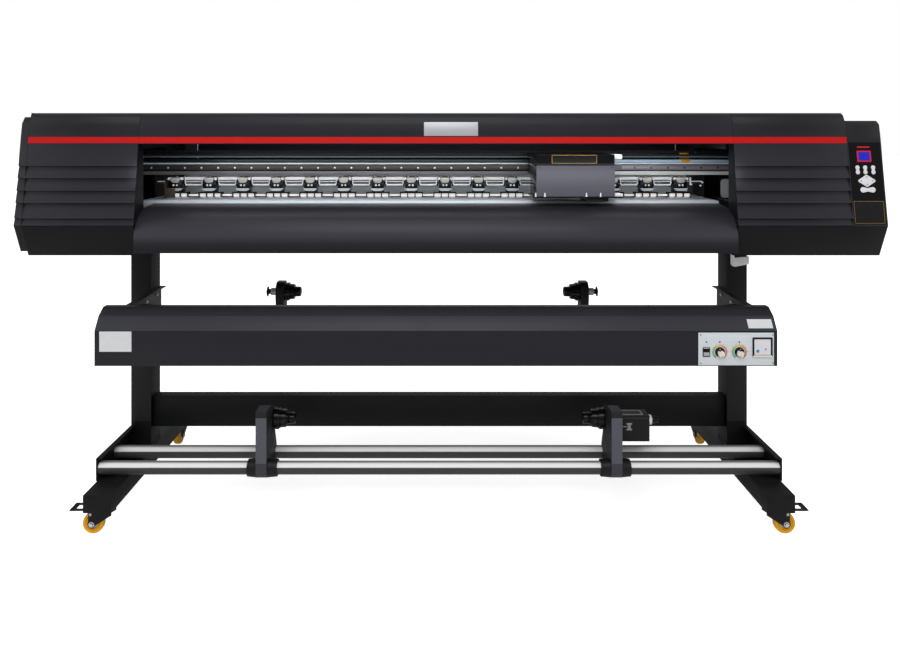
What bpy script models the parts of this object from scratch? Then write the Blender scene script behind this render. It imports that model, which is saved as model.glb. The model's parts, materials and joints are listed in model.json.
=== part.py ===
"""Roll-to-roll wide-format printer on a castered stand, with rear feed, front dryer and take-up.

Sizes are in metres. x = 0 is the midplane of the stand, -y is the operator's side, z = 0 is the
floor. Every object is parented to one empty that centres the whole machine on the world's z axis.
"""

import math

import bmesh
import bpy
from mathutils import Matrix, Vector

# Fits
SEAT_GAP = 0.0003
SHAFT_GAP = 0.0003
COVER_GAP = 0.0004
ROUND = 20

# Overall widths, across the machine
OPENING_WIDTH = 1.736
OPENING_CENTRE_X = -0.009
LEFT_END_WIDTH = 0.324
LEFT_CAP = 0.023
CAP_INSET = 0.006
CAP_TRIM = 0.012
RIGHT_END_WIDTH = 0.329
CONTROL_BOX_WIDTH = 0.100
LEFT_SEAM_X = OPENING_CENTRE_X - OPENING_WIDTH / 2
RIGHT_SEAM_X = OPENING_CENTRE_X + OPENING_WIDTH / 2
LEFT_END_X = LEFT_SEAM_X - LEFT_END_WIDTH
LEFT_CAP_X = LEFT_END_X - LEFT_CAP
CONTROL_BOX_X = RIGHT_SEAM_X + RIGHT_END_WIDTH
RIGHT_END_X = CONTROL_BOX_X + CONTROL_BOX_WIDTH

# Stand
POST_INNER_X = OPENING_WIDTH / 2 + 0.068
POST_WIDTH = 0.065
POST_DEPTH = 0.080
POST_OUTER_X = POST_INNER_X + POST_WIDTH
TUBE_WALL = 0.0025
FOOT_WIDTH = 0.080
FOOT_HEIGHT = 0.050
FOOT_LENGTH = 0.742
FOOT_CENTRE_X = POST_OUTER_X - FOOT_WIDTH / 2
WHEEL_RADIUS = 0.030
CASTER_HEIGHT = WHEEL_RADIUS * 2 + 0.0186
FOOT_TOP = CASTER_HEIGHT + FOOT_HEIGHT
CROSSBAR_BOTTOM = 0.185
CROSSBAR_HEIGHT = 0.100
CROSSBAR_DEPTH = 0.040
WELD = 0.001

# Casters
CASTER_INSET = 0.049
CASTER_TRAIL = 0.030
WHEEL_WIDTH = 0.024
AXLE_RADIUS = 0.004
STEM_RADIUS = 0.0055
CHEEK = 0.003
CHEEK_INNER = WHEEL_WIDTH / 2 + 0.003
CROWN_Z = WHEEL_RADIUS * 2 + 0.004
PEDAL_HINGE = (WHEEL_RADIUS + 0.004, WHEEL_RADIUS * 2 + 0.0035)
PEDAL_HUB_RADIUS = 0.003
PEDAL_REACH = WHEEL_RADIUS + 0.061
PEDAL_WIDTH = 0.044

# Take-up
TUBE_RADIUS = 0.019
TUBE_Z = FOOT_TOP + 0.0304
FRONT_TUBE_Y = -0.263
REAR_TUBE_Y = -0.153
TUBE_PLATE = 0.004
TUBE_PLATE_FRONT = FRONT_TUBE_Y - TUBE_RADIUS
TUBE_PLATE_HEIGHT = 0.065
TAKEUP_AXIS = (-0.188, 0.277)
TAKEUP_ARM_X = 0.5035
TAKEUP_ARM_WIDTH = 0.032
COLLAR_RADIUS = 0.024
COLLAR_LENGTH = 0.088
CHUCK_SHAFT_RADIUS = 0.008
MOTOR_BOX_WIDTH = 0.096

# Rear feed
FEED_AXIS = (0.172, 0.586)
FEED_RAIL_WIDTH = 0.030
FEED_RAIL_HEIGHT = 0.060
FEED_RAIL_Z = 0.430
FEED_ARM_WIDTH = 0.028
FEED_LEFT_X = -0.5705
FEED_RIGHT_X = 0.4950
RAIL_PLATE = 0.008
RAIL_PLATE_INNER_X = POST_INNER_X + 0.0285

# Front dryer
DRYER_OVERHANG = 0.043
DRYER_LENGTH = (POST_INNER_X + DRYER_OVERHANG) * 2
DRYER_FRONT_Y = -0.328
DRYER_BOTTOM = 0.479
DRYER_FACE_HEIGHT = 0.101
DRYER_HEIGHT = 0.157
DRYER_SHEET = 0.002
DRYER_REAR_Y = -0.248
DRYER_TOP = DRYER_BOTTOM + DRYER_HEIGHT
DRYER_LEFT_X = OPENING_CENTRE_X - DRYER_LENGTH / 2
DRYER_RIGHT_X = OPENING_CENTRE_X + DRYER_LENGTH / 2
LAMP_RADIUS = 0.008
CONTROL_PLATE_WIDTH = 0.216
CONTROL_PLATE_HEIGHT = 0.093
CONTROL_PLATE = 0.002
CONTROL_PLATE_RIGHT_X = DRYER_RIGHT_X - 0.011
CONTROL_PLATE_Z = DRYER_BOTTOM + 0.003
KNOB_RADIUS = 0.014
KNOB_Z = CONTROL_PLATE_Z + 0.038
KNOB_SPACING = 0.056

# Printer body, heights measured from its underside
BODY_BOTTOM = 0.789
BODY_REAR_Y = 0.250
SHELL_WALL = 0.003
CHIN_TOP = BODY_BOTTOM + 0.092
CHIN_TOP_Y = -0.328
CHIN_BOTTOM_Y = -0.285
CHIN_SEAM = 0.0019
STRIPE_TOP = BODY_BOTTOM + 0.348
STRIPE_TOP_Y = -0.290
BROW_Z = BODY_BOTTOM + 0.393
BROW_Y = -0.283
COVER_TOP = BODY_BOTTOM + 0.417
COVER_TOP_Y = -0.268
COVER_HINGE_Z = COVER_TOP - 0.016
LOUVRE_HEIGHTS = (0.020, 0.064, 0.099, 0.135, 0.170)
LOUVRE_STEP = 0.004
SIDE_WALL_REAR_Y = -0.252
CENTRE_LIP_Z = BODY_BOTTOM + 0.3263
CONTROL_BOX_TOP = BODY_BOTTOM + 0.394
REAR_SLOT_Z = BODY_BOTTOM + 0.211

# Platen and apron
PLATEN_Z = BODY_BOTTOM + 0.149
PLATEN_FRONT_Y = -0.175
PLATEN_REAR_Y = 0.100
PLATEN_OVERHANG = 0.045
PLATEN_LEFT_X = LEFT_SEAM_X - PLATEN_OVERHANG
REAR_GUIDE_RADIUS = 0.070
LIP_DEPTH = 0.033
GRIT_Y = -0.060
GRIT_RADIUS = 0.012
TROUGH_HALF = 0.016
APRON_SHEET = 0.002

# Chassis
BEAM_HALF_DEPTH = 0.090
BEAM_HEIGHT = 0.0577
BEAM_WALL = 0.003
CHASSIS_Z = BODY_BOTTOM + SHELL_WALL + SEAT_GAP
SIDE_FRAME = 0.006
SIDE_FRAME_FRONT_Y = -0.170
SIDE_FRAME_REAR_Y = BODY_REAR_Y - SHELL_WALL - 0.003
RISER = 0.003

# Print unit
RAIL_BEAM_FRONT_Y = -0.023
RAIL_BEAM_REAR_Y = 0.060
RAIL_BEAM_Z = BODY_BOTTOM + 0.220
RAIL_BEAM_HEIGHT = 0.051
RAIL_DEPTH = 0.010
RAIL_HEIGHT = 0.016
RAIL_Z = RAIL_BEAM_Z + 0.016
BEAM_LEFT_X = LEFT_END_X + 0.081
BEAM_RIGHT_X = CONTROL_BOX_X - 0.088
PULLEY_RADIUS = 0.0127
BELT = 0.002
BELT_HEIGHT = 0.010
BELT_Y = 0.005
BELT_Z = RAIL_BEAM_Z + RAIL_BEAM_HEIGHT + 0.006
MOTOR_SIZE = 0.058
MOTOR_HEIGHT = 0.073
CARRIAGE_X = 0.290
CARRIAGE_WIDTH = 0.233
CARRIAGE_FRONT_Y = -0.248
CARRIAGE_BACK_Y = -0.095
CARRIAGE_BOTTOM = PLATEN_Z + 0.019
CARRIAGE_TOP = RAIL_BEAM_Z + 0.073
PLATE = 0.003
HEAD_GAP = 0.004

# Pinch units
PINCH_AXIS = (-0.020, RAIL_BEAM_Z - 0.024)
PINCH_PITCH = 0.1076
PINCH_FIRST = 0.035
PINCH_LAST = 0.087
PINCH_SHAFT_RADIUS = 0.005
PINCH_WHEEL_RADIUS = 0.008
PINCH_WHEEL_Z = PLATEN_Z + PINCH_WHEEL_RADIUS + SEAT_GAP
LEVER_AXIS = (-0.150, BODY_BOTTOM + 0.023)
LEVER_X = RIGHT_SEAM_X + 0.047

# Control panel, measured along its leaning face
FACE_LEAN = math.atan2(STRIPE_TOP_Y - CHIN_TOP_Y, STRIPE_TOP - CHIN_TOP)
PANEL_THICKNESS = 0.005
PANEL_MARGIN = 0.004
PANEL_LENGTH = 0.237
KEY_FLANGE = 0.0006

CHARCOAL = ((0.030, 0.031, 0.036), 0.45, 0.0)
STAND_BLACK = ((0.021, 0.021, 0.021), 0.50, 0.0)
MATT_BLACK = ((0.012, 0.012, 0.013), 0.60, 0.0)
ARM_GREY = ((0.046, 0.046, 0.058), 0.55, 0.0)
STEEL = ((0.62, 0.62, 0.63), 0.25, 1.0)
ALUMINIUM = ((0.52, 0.53, 0.55), 0.35, 1.0)
PALE_GREY = ((0.48, 0.50, 0.52), 0.45, 0.0)
MID_GREY = ((0.13, 0.13, 0.15), 0.45, 0.0)
WHITE = ((0.82, 0.82, 0.82), 0.40, 0.0)
WHEEL_YELLOW = ((0.92, 0.38, 0.01), 0.40, 0.0)
LAMP_GLASS = ((0.75, 0.70, 0.65), 0.15, 0.0)

scene = bpy.context.scene
for leftover in list(bpy.data.objects):
    bpy.data.objects.remove(leftover)

machine = bpy.data.objects.new("machine_centre", None)
machine.location.x = -(LEFT_CAP_X + RIGHT_END_X) / 2
scene.collection.objects.link(machine)


# ---------------------------------------------------------------- shapes

AXIS_FRAMES = {
    "X": Matrix(((0, 0, 1, 0), (1, 0, 0, 0), (0, 1, 0, 0), (0, 0, 0, 1))),
    "Y": Matrix(((1, 0, 0, 0), (0, 0, -1, 0), (0, 1, 0, 0), (0, 0, 0, 1))),
    "Z": Matrix.Identity(4),
}


def prism(axis, outline, start, end):
    """Solid with a flat outline in the plane across an axis, from start to end along it.

    The outline is (y, z) points across X, (x, z) across Y and (x, y) across Z.
    """
    bm = bmesh.new()
    low, high = sorted((start, end))
    sign = -1 if axis == "Y" else 1
    verts = [bm.verts.new((a, b, sign * low)) for a, b in outline]
    face = bm.faces.new(verts)
    grown = bmesh.ops.extrude_face_region(bm, geom=[face])
    top = [item for item in grown["geom"] if isinstance(item, bmesh.types.BMVert)]
    bmesh.ops.translate(bm, verts=top, vec=(0, 0, sign * (high - low)))
    bmesh.ops.recalc_face_normals(bm, faces=bm.faces)
    bmesh.ops.transform(bm, matrix=AXIS_FRAMES[axis], verts=bm.verts)
    bmesh.ops.recalc_face_normals(bm, faces=bm.faces)
    return bm


def box(x, y, z):
    """Block between two x, two y and two z values."""
    outline = [(y[0], z[0]), (y[1], z[0]), (y[1], z[1]), (y[0], z[1])]
    return prism("X", outline, x[0], x[1])


def sheet(points, thickness):
    """Outline of bent sheet metal: a line of points given its thickness on its right-hand side."""
    normals = []
    for first, second in zip(points, points[1:]):
        run = Vector(second) - Vector(first)
        run.normalize()
        normals.append(Vector((run.y, -run.x)))
    inner = []
    for index, point in enumerate(points):
        before = normals[max(index - 1, 0)]
        after = normals[min(index, len(normals) - 1)]
        mitre = (before + after) / (1 + before.dot(after))
        inner.append(tuple(Vector(point) + mitre * thickness))
    return list(points) + inner[::-1]


def arc(centre, radius, start, end, steps):
    """Points on a circle from one angle to another, in degrees."""
    angles = [math.radians(start + (end - start) * i / steps) for i in range(steps + 1)]
    return [(centre[0] + radius * math.cos(a), centre[1] + radius * math.sin(a)) for a in angles]


def turned(axis, centre, profile, sides=ROUND):
    """Body of revolution about a line along an axis.

    The profile is (distance along the axis, radius) points. It closes on itself round a bore, or
    starts and ends on the axis. The centre gives the line's place across the axis.
    """
    bm = bmesh.new()
    solid = profile[0][1] == 0
    verts = [bm.verts.new((radius, 0, along)) for along, radius in profile]
    edges = [bm.edges.new(pair) for pair in zip(verts, verts[1:])]
    if not solid:
        edges.append(bm.edges.new((verts[-1], verts[0])))
    bmesh.ops.spin(bm, geom=verts + edges, cent=(0, 0, 0), axis=(0, 0, 1),
                   angle=2 * math.pi, steps=sides, use_merge=True)
    bmesh.ops.remove_doubles(bm, verts=bm.verts, dist=0.000001)
    frame = AXIS_FRAMES[axis].copy()
    if axis == "Y":
        frame = Matrix(((1, 0, 0, 0), (0, 0, 1, 0), (0, 1, 0, 0), (0, 0, 0, 1)))
    bmesh.ops.transform(bm, matrix=frame, verts=bm.verts)
    offset = {"X": (0, *centre), "Y": (centre[0], 0, centre[1]), "Z": (*centre, 0)}[axis]
    bmesh.ops.translate(bm, verts=bm.verts, vec=offset)
    bmesh.ops.recalc_face_normals(bm, faces=bm.faces)
    return bm


def rod(axis, centre, start, end, radius, sides=ROUND):
    """Round bar along an axis."""
    low, high = sorted((start, end))
    return turned(axis, centre, [(low, 0), (low, radius), (high, radius), (high, 0)], sides)


def gather(*shapes):
    """Several separate shapes as one mesh, for one union or one cut."""
    whole = bmesh.new()
    for shape in shapes:
        piece = bpy.data.meshes.new("gathered")
        shape.to_mesh(piece)
        shape.free()
        whole.from_mesh(piece)
        bpy.data.meshes.remove(piece)
    return whole


def moved(bm, matrix):
    bmesh.ops.transform(bm, matrix=matrix, verts=bm.verts)
    return bm


# ---------------------------------------------------------------- objects


def part(name, bm, finish, origin=(0, 0, 0), smooth=False):
    """A named piece of the machine, with its own material and its origin on its joint's axis."""
    bmesh.ops.translate(bm, verts=bm.verts, vec=-Vector(origin))
    mesh = bpy.data.meshes.new(name)
    bm.to_mesh(mesh)
    bm.free()
    if smooth:
        mesh.shade_smooth()
        mesh.set_sharp_from_angle(angle=math.radians(35))
    material = bpy.data.materials.new(name)
    material.use_nodes = True
    shader = material.node_tree.nodes["Principled BSDF"]
    colour, roughness, metallic = finish
    shader.inputs["Base Color"].default_value = (*colour, 1)
    shader.inputs["Roughness"].default_value = roughness
    shader.inputs["Metallic"].default_value = metallic
    mesh.materials.append(material)
    piece = bpy.data.objects.new(name, mesh)
    piece.location = origin
    piece.parent = machine
    scene.collection.objects.link(piece)
    return piece


def combine(piece, shapes, operation):
    """Unites shapes with a piece, or cuts them from it, as live modifiers."""
    for shape in shapes:
        label = f"{piece.name}_{operation.lower()}_{len(piece.modifiers) + 1}"
        mesh = bpy.data.meshes.new(label)
        shape.to_mesh(mesh)
        shape.free()
        helper = bpy.data.objects.new(label, mesh)
        helper.parent = machine
        helper.hide_render = True
        helper.display_type = "WIRE"
        scene.collection.objects.link(helper)
        boolean = piece.modifiers.new(label, "BOOLEAN")
        boolean.operation = operation
        boolean.solver = "EXACT"
        boolean.object = helper


def unite(piece, *shapes):
    combine(piece, shapes, "UNION")


def cut(piece, *shapes):
    combine(piece, shapes, "DIFFERENCE")


# ---------------------------------------------------------------- stand


def leg(name, side):
    """Foot, post, tube plate and rear rail plate, welded together from steel tube and plate."""
    outer = side * POST_OUTER_X
    inner = side * POST_INNER_X
    foot_inner = side * (POST_OUTER_X - FOOT_WIDTH)
    half = FOOT_LENGTH / 2
    wall = side * TUBE_WALL
    body = part(name, box((foot_inner, outer), (-half, half), (CASTER_HEIGHT, FOOT_TOP)), STAND_BLACK)
    depth = POST_DEPTH / 2
    plate_inner = outer - side * WELD
    plate_outer = outer + side * TUBE_PLATE
    plate_z = (FOOT_TOP - WELD, FOOT_TOP + TUBE_PLATE_HEIGHT)
    rail_inner = side * RAIL_PLATE_INNER_X
    rail_rear = FEED_AXIS[0] + 0.030
    rail_z = (FEED_RAIL_Z - 0.045, FEED_RAIL_Z + 0.045)
    unite(
        body,
        box((inner, outer), (-depth, depth), (FOOT_TOP - WELD, BODY_BOTTOM + SHELL_WALL)),
        box((plate_inner, plate_outer), (TUBE_PLATE_FRONT, depth), plate_z),
        box((outer - side * 0.012, plate_outer), (TUBE_PLATE_FRONT, -depth + WELD), (plate_z[1] - 0.003, plate_z[1])),
        box((rail_inner, rail_inner + side * RAIL_PLATE), (depth - WELD, rail_rear), rail_z),
    )
    stem = STEM_RADIUS + SHAFT_GAP
    stems = [
        rod("Z", (side * FOOT_CENTRE_X, y), CASTER_HEIGHT - 0.005, CASTER_HEIGHT + 0.010, stem)
        for y in (CASTER_INSET - half, half - CASTER_INSET)
    ]
    cut(
        body,
        box((foot_inner + wall, outer - wall), (TUBE_WALL - half, half - TUBE_WALL),
            (CASTER_HEIGHT + TUBE_WALL, FOOT_TOP - TUBE_WALL)),
        box((inner + wall, outer - wall), (TUBE_WALL - depth, depth - TUBE_WALL), (FOOT_TOP - 0.010, BODY_BOTTOM + 0.020)),
        gather(*stems),
    )


def crossbar():
    """Rectangular tube between the posts, open at both ends against them."""
    end = POST_INNER_X - SEAT_GAP
    half = CROSSBAR_DEPTH / 2
    top = CROSSBAR_BOTTOM + CROSSBAR_HEIGHT
    bar = part("crossbar", box((-end, end), (-half, half), (CROSSBAR_BOTTOM, top)), STAND_BLACK)
    wall = TUBE_WALL
    cut(bar, box((-end - 0.01, end + 0.01), (wall - half, half - wall), (CROSSBAR_BOTTOM + wall, top - wall)))


def round_tube(name, y):
    """Stainless tube between the two tube plates."""
    end = POST_OUTER_X - WELD - SEAT_GAP
    inner = TUBE_RADIUS - 0.0015
    profile = [(-end, inner), (-end, TUBE_RADIUS), (end, TUBE_RADIUS), (end, inner)]
    part(name, turned("X", (y, TUBE_Z), profile, 32), STEEL, smooth=True)


def caster(corner, side, front):
    """Swivel fork with its wheel, and a brake pedal on the front ones."""
    y = (CASTER_INSET - FOOT_LENGTH / 2) * (1 if front else -1)
    turn = (0 if side > 0 else math.pi) if front else -math.pi / 2
    place = Matrix.Translation((side * FOOT_CENTRE_X, y, 0)) @ Matrix.Rotation(turn, 4, "Z")
    swivel = (side * FOOT_CENTRE_X, y, CASTER_HEIGHT)
    axle = place @ Vector((CASTER_TRAIL, 0, WHEEL_RADIUS))
    head_top = CASTER_HEIGHT - SEAT_GAP
    outline = [(-0.026, CROWN_Z + 0.002), (-0.026, CROWN_Z - 0.008)]
    outline += arc((CASTER_TRAIL, WHEEL_RADIUS), 0.010, 200, 340, 6)
    outline += [(PEDAL_HINGE[0] + 0.006, CROWN_Z - 0.008), (PEDAL_HINGE[0] + 0.006, CROWN_Z + 0.002)]
    outer = CHEEK_INNER + CHEEK
    fork = part(f"caster_fork_{corner}", moved(rod("Z", (0, 0), CROWN_Z, head_top, 0.024), place), MATT_BLACK, swivel)
    axle_bar = turned("Y", (CASTER_TRAIL, WHEEL_RADIUS), [
        (-outer - 0.004, 0), (-outer - 0.004, 0.006), (-outer + 0.001, 0.006), (-outer + 0.001, AXLE_RADIUS),
        (outer - 0.001, AXLE_RADIUS), (outer - 0.001, 0.006), (outer + 0.004, 0.006), (outer + 0.004, 0)], 12)
    crown = box((-0.026, 0.027), (-outer, outer), (CROWN_Z, CROWN_Z + 0.004))
    unite(
        fork,
        moved(rod("Z", (0, 0), CROWN_Z + 0.002, CASTER_HEIGHT + 0.018, STEM_RADIUS), place),
        moved(crown, place),
        moved(gather(prism("Y", outline, -outer, -CHEEK_INNER), prism("Y", outline, CHEEK_INNER, outer)), place),
        moved(axle_bar, place),
    )
    half = WHEEL_WIDTH / 2
    bore = AXLE_RADIUS + SHAFT_GAP
    tread = [(-half, bore), (-half, 0.016), (0.003 - half, 0.018), (0.003 - half, WHEEL_RADIUS - 0.003),
             (0.006 - half, WHEEL_RADIUS)]
    tread += [(-along, radius) for along, radius in tread[::-1]]
    wheel = moved(turned("Y", (CASTER_TRAIL, WHEEL_RADIUS), tread, 32), place)
    part(f"caster_wheel_{corner}", wheel, WHEEL_YELLOW, axle, smooth=True)
    if front:
        brake_pedal(corner, place)


def brake_pedal(corner, place):
    """Flat foot plate on a small hinge between the fork's cheeks."""
    hinge_x, hinge_z = PEDAL_HINGE
    top = CASTER_HEIGHT - 0.0045
    line = [(hinge_x + 0.001, hinge_z + 0.002), (hinge_x + 0.007, top), (PEDAL_REACH, top)]
    neck_half = CHEEK_INNER - SEAT_GAP
    wide = PEDAL_WIDTH / 2
    hinge = place @ Vector((hinge_x, 0, hinge_z))
    arm = prism("Y", sheet(line, 0.003), -neck_half, neck_half)
    pedal = part(f"brake_pedal_{corner}", moved(arm, place), MATT_BLACK, hinge)
    window = box((0.056, 0.077), (-0.012, 0.012), (0.05, 0.09))
    tread = prism("Y", sheet([(hinge_x + 0.012, top), (PEDAL_REACH, top)], 0.003), -wide, wide)
    unite(
        pedal,
        moved(rod("Y", (hinge_x, hinge_z), -neck_half, neck_half, PEDAL_HUB_RADIUS, 12), place),
        moved(tread, place),
    )
    cut(pedal, moved(window, place))


def build_stand():
    leg("left_leg", -1)
    leg("right_leg", 1)
    crossbar()
    for corner, side, front in (("front_left", -1, True), ("front_right", 1, True),
                                ("rear_left", -1, False), ("rear_right", 1, False)):
        caster(corner, side, front)


# ---------------------------------------------------------------- take-up and rear feed


def core_cone(name, axis, face, side, reach, tail, radii, knob=False):
    """Stepped cone that centres a core, on a shaft that runs back through its arm.

    face is the arm's inner face, side is the way the arm lies from the machine's middle, reach
    is how far the cone stands in from the arm and tail how far its shaft runs outwards.
    """
    gap = SEAT_GAP
    steps = [0, 0.30 * reach, 0.60 * reach, reach]
    profile = [(-reach, 0)]
    for index in (2, 1, 0):
        radius = radii[index]
        profile += [(-steps[index + 1], radius * 0.93), (-steps[index] - gap, radius)]
    profile += [(-gap, CHUCK_SHAFT_RADIUS)]
    if knob:
        profile += [(tail - 0.038, CHUCK_SHAFT_RADIUS), (tail - 0.038, 0.013), (tail - 0.016, 0.013),
                    (tail - 0.016, 0.009), (tail - 0.006, 0.009), (tail - 0.006, 0.018), (tail - 0.003, 0.018),
                    (tail, 0.006), (tail, 0)]
    else:
        profile += [(tail, CHUCK_SHAFT_RADIUS), (tail, 0)]
    placed = [(face + side * along, radius) for along, radius in profile]
    origin = (face, *axis)
    return part(name, turned("X", axis, placed, 24), MATT_BLACK, origin, smooth=True)


def takeup_arm(name, side):
    """Arm that clamps on the front tube, leans on the rear one and carries a core cone."""
    near = side * TAKEUP_ARM_X
    far = near + side * TAKEUP_ARM_WIDTH
    middle = (near + far) / 2
    front = FRONT_TUBE_Y - 0.027
    base = TUBE_Z - TUBE_RADIUS - 0.003
    top = TAKEUP_AXIS[1] + 0.056
    outline = [(front, base + 0.013), (front + 0.010, base), (REAR_TUBE_Y - 0.013, base),
               (REAR_TUBE_Y + 0.003, TUBE_Z + TUBE_RADIUS + 0.007), (TAKEUP_AXIS[0] + 0.016, TUBE_Z + 0.076),
               (TAKEUP_AXIS[0] + 0.023, TAKEUP_AXIS[1] - 0.012), (TAKEUP_AXIS[0] + 0.023, TAKEUP_AXIS[1] + 0.014),
               (TAKEUP_AXIS[0] + 0.006, TAKEUP_AXIS[1] + 0.036), (front + 0.052, top), (front, top)]
    arm = part(name, prism("X", outline, near, far), ARM_GREY, (middle, FRONT_TUBE_Y, TUBE_Z))
    half = COLLAR_LENGTH / 2
    tube = TUBE_RADIUS + SHAFT_GAP
    unite(arm, rod("X", (FRONT_TUBE_Y, TUBE_Z), middle - half, middle + half, COLLAR_RADIUS, 24))
    cut(
        arm,
        rod("X", (FRONT_TUBE_Y, TUBE_Z), middle - 0.1, middle + 0.1, tube, 32),
        rod("X", (REAR_TUBE_Y, TUBE_Z), middle - 0.1, middle + 0.1, tube, 32),
        rod("X", TAKEUP_AXIS, middle - 0.1, middle + 0.1, CHUCK_SHAFT_RADIUS + SHAFT_GAP),
    )


def takeup_motor():
    """Motor box on the right arm, with its cable gland on the outer end."""
    start = TAKEUP_ARM_X + TAKEUP_ARM_WIDTH + SEAT_GAP
    end = start + MOTOR_BOX_WIDTH
    y, z = TAKEUP_AXIS
    origin = (start, y, z)
    motor = part("takeup_motor", box((start, end), (y - 0.040, y + 0.014), (z - 0.0555, z + 0.021)), MATT_BLACK, origin)
    gland = [(end - 0.002, 0), (end - 0.002, 0.014), (end + 0.008, 0.014), (end + 0.008, 0.010), (end + 0.031, 0.008),
             (end + 0.031, 0)]
    unite(motor, turned("X", (y - 0.024, z + 0.004), gland))
    cut(motor, rod("X", TAKEUP_AXIS, start - 0.01, start + 0.016, CHUCK_SHAFT_RADIUS + SHAFT_GAP))


def feed_arm(name, near, side):
    """Arm that clamps round the feed rail and carries a core cone above it."""
    far = near + side * FEED_ARM_WIDTH
    y, z = FEED_AXIS
    low = FEED_RAIL_Z - FEED_RAIL_HEIGHT / 2 - 0.015
    high = FEED_RAIL_Z + FEED_RAIL_HEIGHT / 2 + 0.015
    outline = [(y - 0.040, low), (y + 0.040, low), (y + 0.040, high), (y + 0.024, high + 0.035), (y + 0.037, z - 0.015),
               (y + 0.033, z + 0.020), (y + 0.018, z + 0.036), (y - 0.018, z + 0.036), (y - 0.033, z + 0.020),
               (y - 0.037, z - 0.015), (y - 0.024, high + 0.035), (y - 0.040, high)]
    arm = part(name, prism("X", outline, near, far), MATT_BLACK, ((near + far) / 2, y, FEED_RAIL_Z))
    half = FEED_RAIL_WIDTH / 2 + SEAT_GAP
    rise = FEED_RAIL_HEIGHT / 2 + SEAT_GAP
    ends = (min(near, far) - 0.01, max(near, far) + 0.01)
    cut(
        arm,
        box(ends, (y - half, y + half), (FEED_RAIL_Z - rise, FEED_RAIL_Z + rise)),
        rod("X", FEED_AXIS, ends[0], ends[1], CHUCK_SHAFT_RADIUS + SHAFT_GAP),
    )


def build_media_holders():
    round_tube("front_tube", FRONT_TUBE_Y)
    round_tube("rear_tube", REAR_TUBE_Y)
    radii = (0.0320, 0.0275, 0.0180)
    takeup_arm("takeup_arm_left", -1)
    takeup_arm("takeup_arm_right", 1)
    core_cone("takeup_cone_left", TAKEUP_AXIS, -TAKEUP_ARM_X, -1, 0.066, TAKEUP_ARM_WIDTH, radii)
    core_cone("takeup_cone_right", TAKEUP_AXIS, TAKEUP_ARM_X, 1, 0.066, TAKEUP_ARM_WIDTH + 0.014, radii)
    takeup_motor()

    y = FEED_AXIS[0]
    half = FEED_RAIL_WIDTH / 2
    rise = FEED_RAIL_HEIGHT / 2
    end = RAIL_PLATE_INNER_X - SEAT_GAP
    rail = part("feed_rail", box((-end, end), (y - half, y + half), (FEED_RAIL_Z - rise, FEED_RAIL_Z + rise)), STEEL)
    wall = TUBE_WALL
    cut(rail, box((-end - 0.01, end + 0.01), (y - half + wall, y + half - wall),
                  (FEED_RAIL_Z - rise + wall, FEED_RAIL_Z + rise - wall)))
    for name, near, side in (("left", FEED_LEFT_X + FEED_ARM_WIDTH, -1), ("right", FEED_RIGHT_X, 1)):
        feed_arm(f"feed_arm_{name}", near, side)
        core_cone(f"feed_cone_{name}", FEED_AXIS, near, side, 0.056, FEED_ARM_WIDTH + SEAT_GAP + 0.038, radii, True)


# ---------------------------------------------------------------- dryer


def dryer_outline():
    y, z = DRYER_FRONT_Y, DRYER_BOTTOM
    return [(y + 0.096, z), (y, z), (y, z + DRYER_FACE_HEIGHT), (y + 0.025, z + 0.137), (y + 0.056, DRYER_TOP),
            (DRYER_REAR_Y, DRYER_TOP)]


def dryer_bracket(name, side):
    """Plate on the post's inner face, with a flange that the housing's top rests on."""
    outer = side * (POST_INNER_X - SEAT_GAP)
    top = DRYER_TOP - DRYER_SHEET - SEAT_GAP
    rear = POST_DEPTH / 2
    front = DRYER_REAR_Y - 0.016
    web = [(rear, top - 0.066), (rear, top), (front, top), (front, top - 0.022), (DRYER_REAR_Y + 0.120, top - 0.022)]
    plate = part(name, prism("X", web, outer - side * 0.004, outer), STAND_BLACK)
    unite(plate, box((outer - side * 0.020, outer - side * 0.001), (front, rear), (top - 0.003, top)))


def dryer_window():
    """Cut-out in the housing behind the switch and the knobs."""
    left = CONTROL_PLATE_RIGHT_X - CONTROL_PLATE_WIDTH + 0.007
    z = KNOB_Z
    return box((left, left + 0.128), (DRYER_FRONT_Y - 0.01, DRYER_FRONT_Y + 0.01), (z - 0.024, z + 0.024))


def rocker_hole(x, z, gap):
    return box((x - 0.0082 - gap, x + 0.0082 + gap), (DRYER_FRONT_Y - 0.02, DRYER_FRONT_Y + 0.02),
               (z - 0.0110 - gap, z + 0.0110 + gap))


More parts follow.
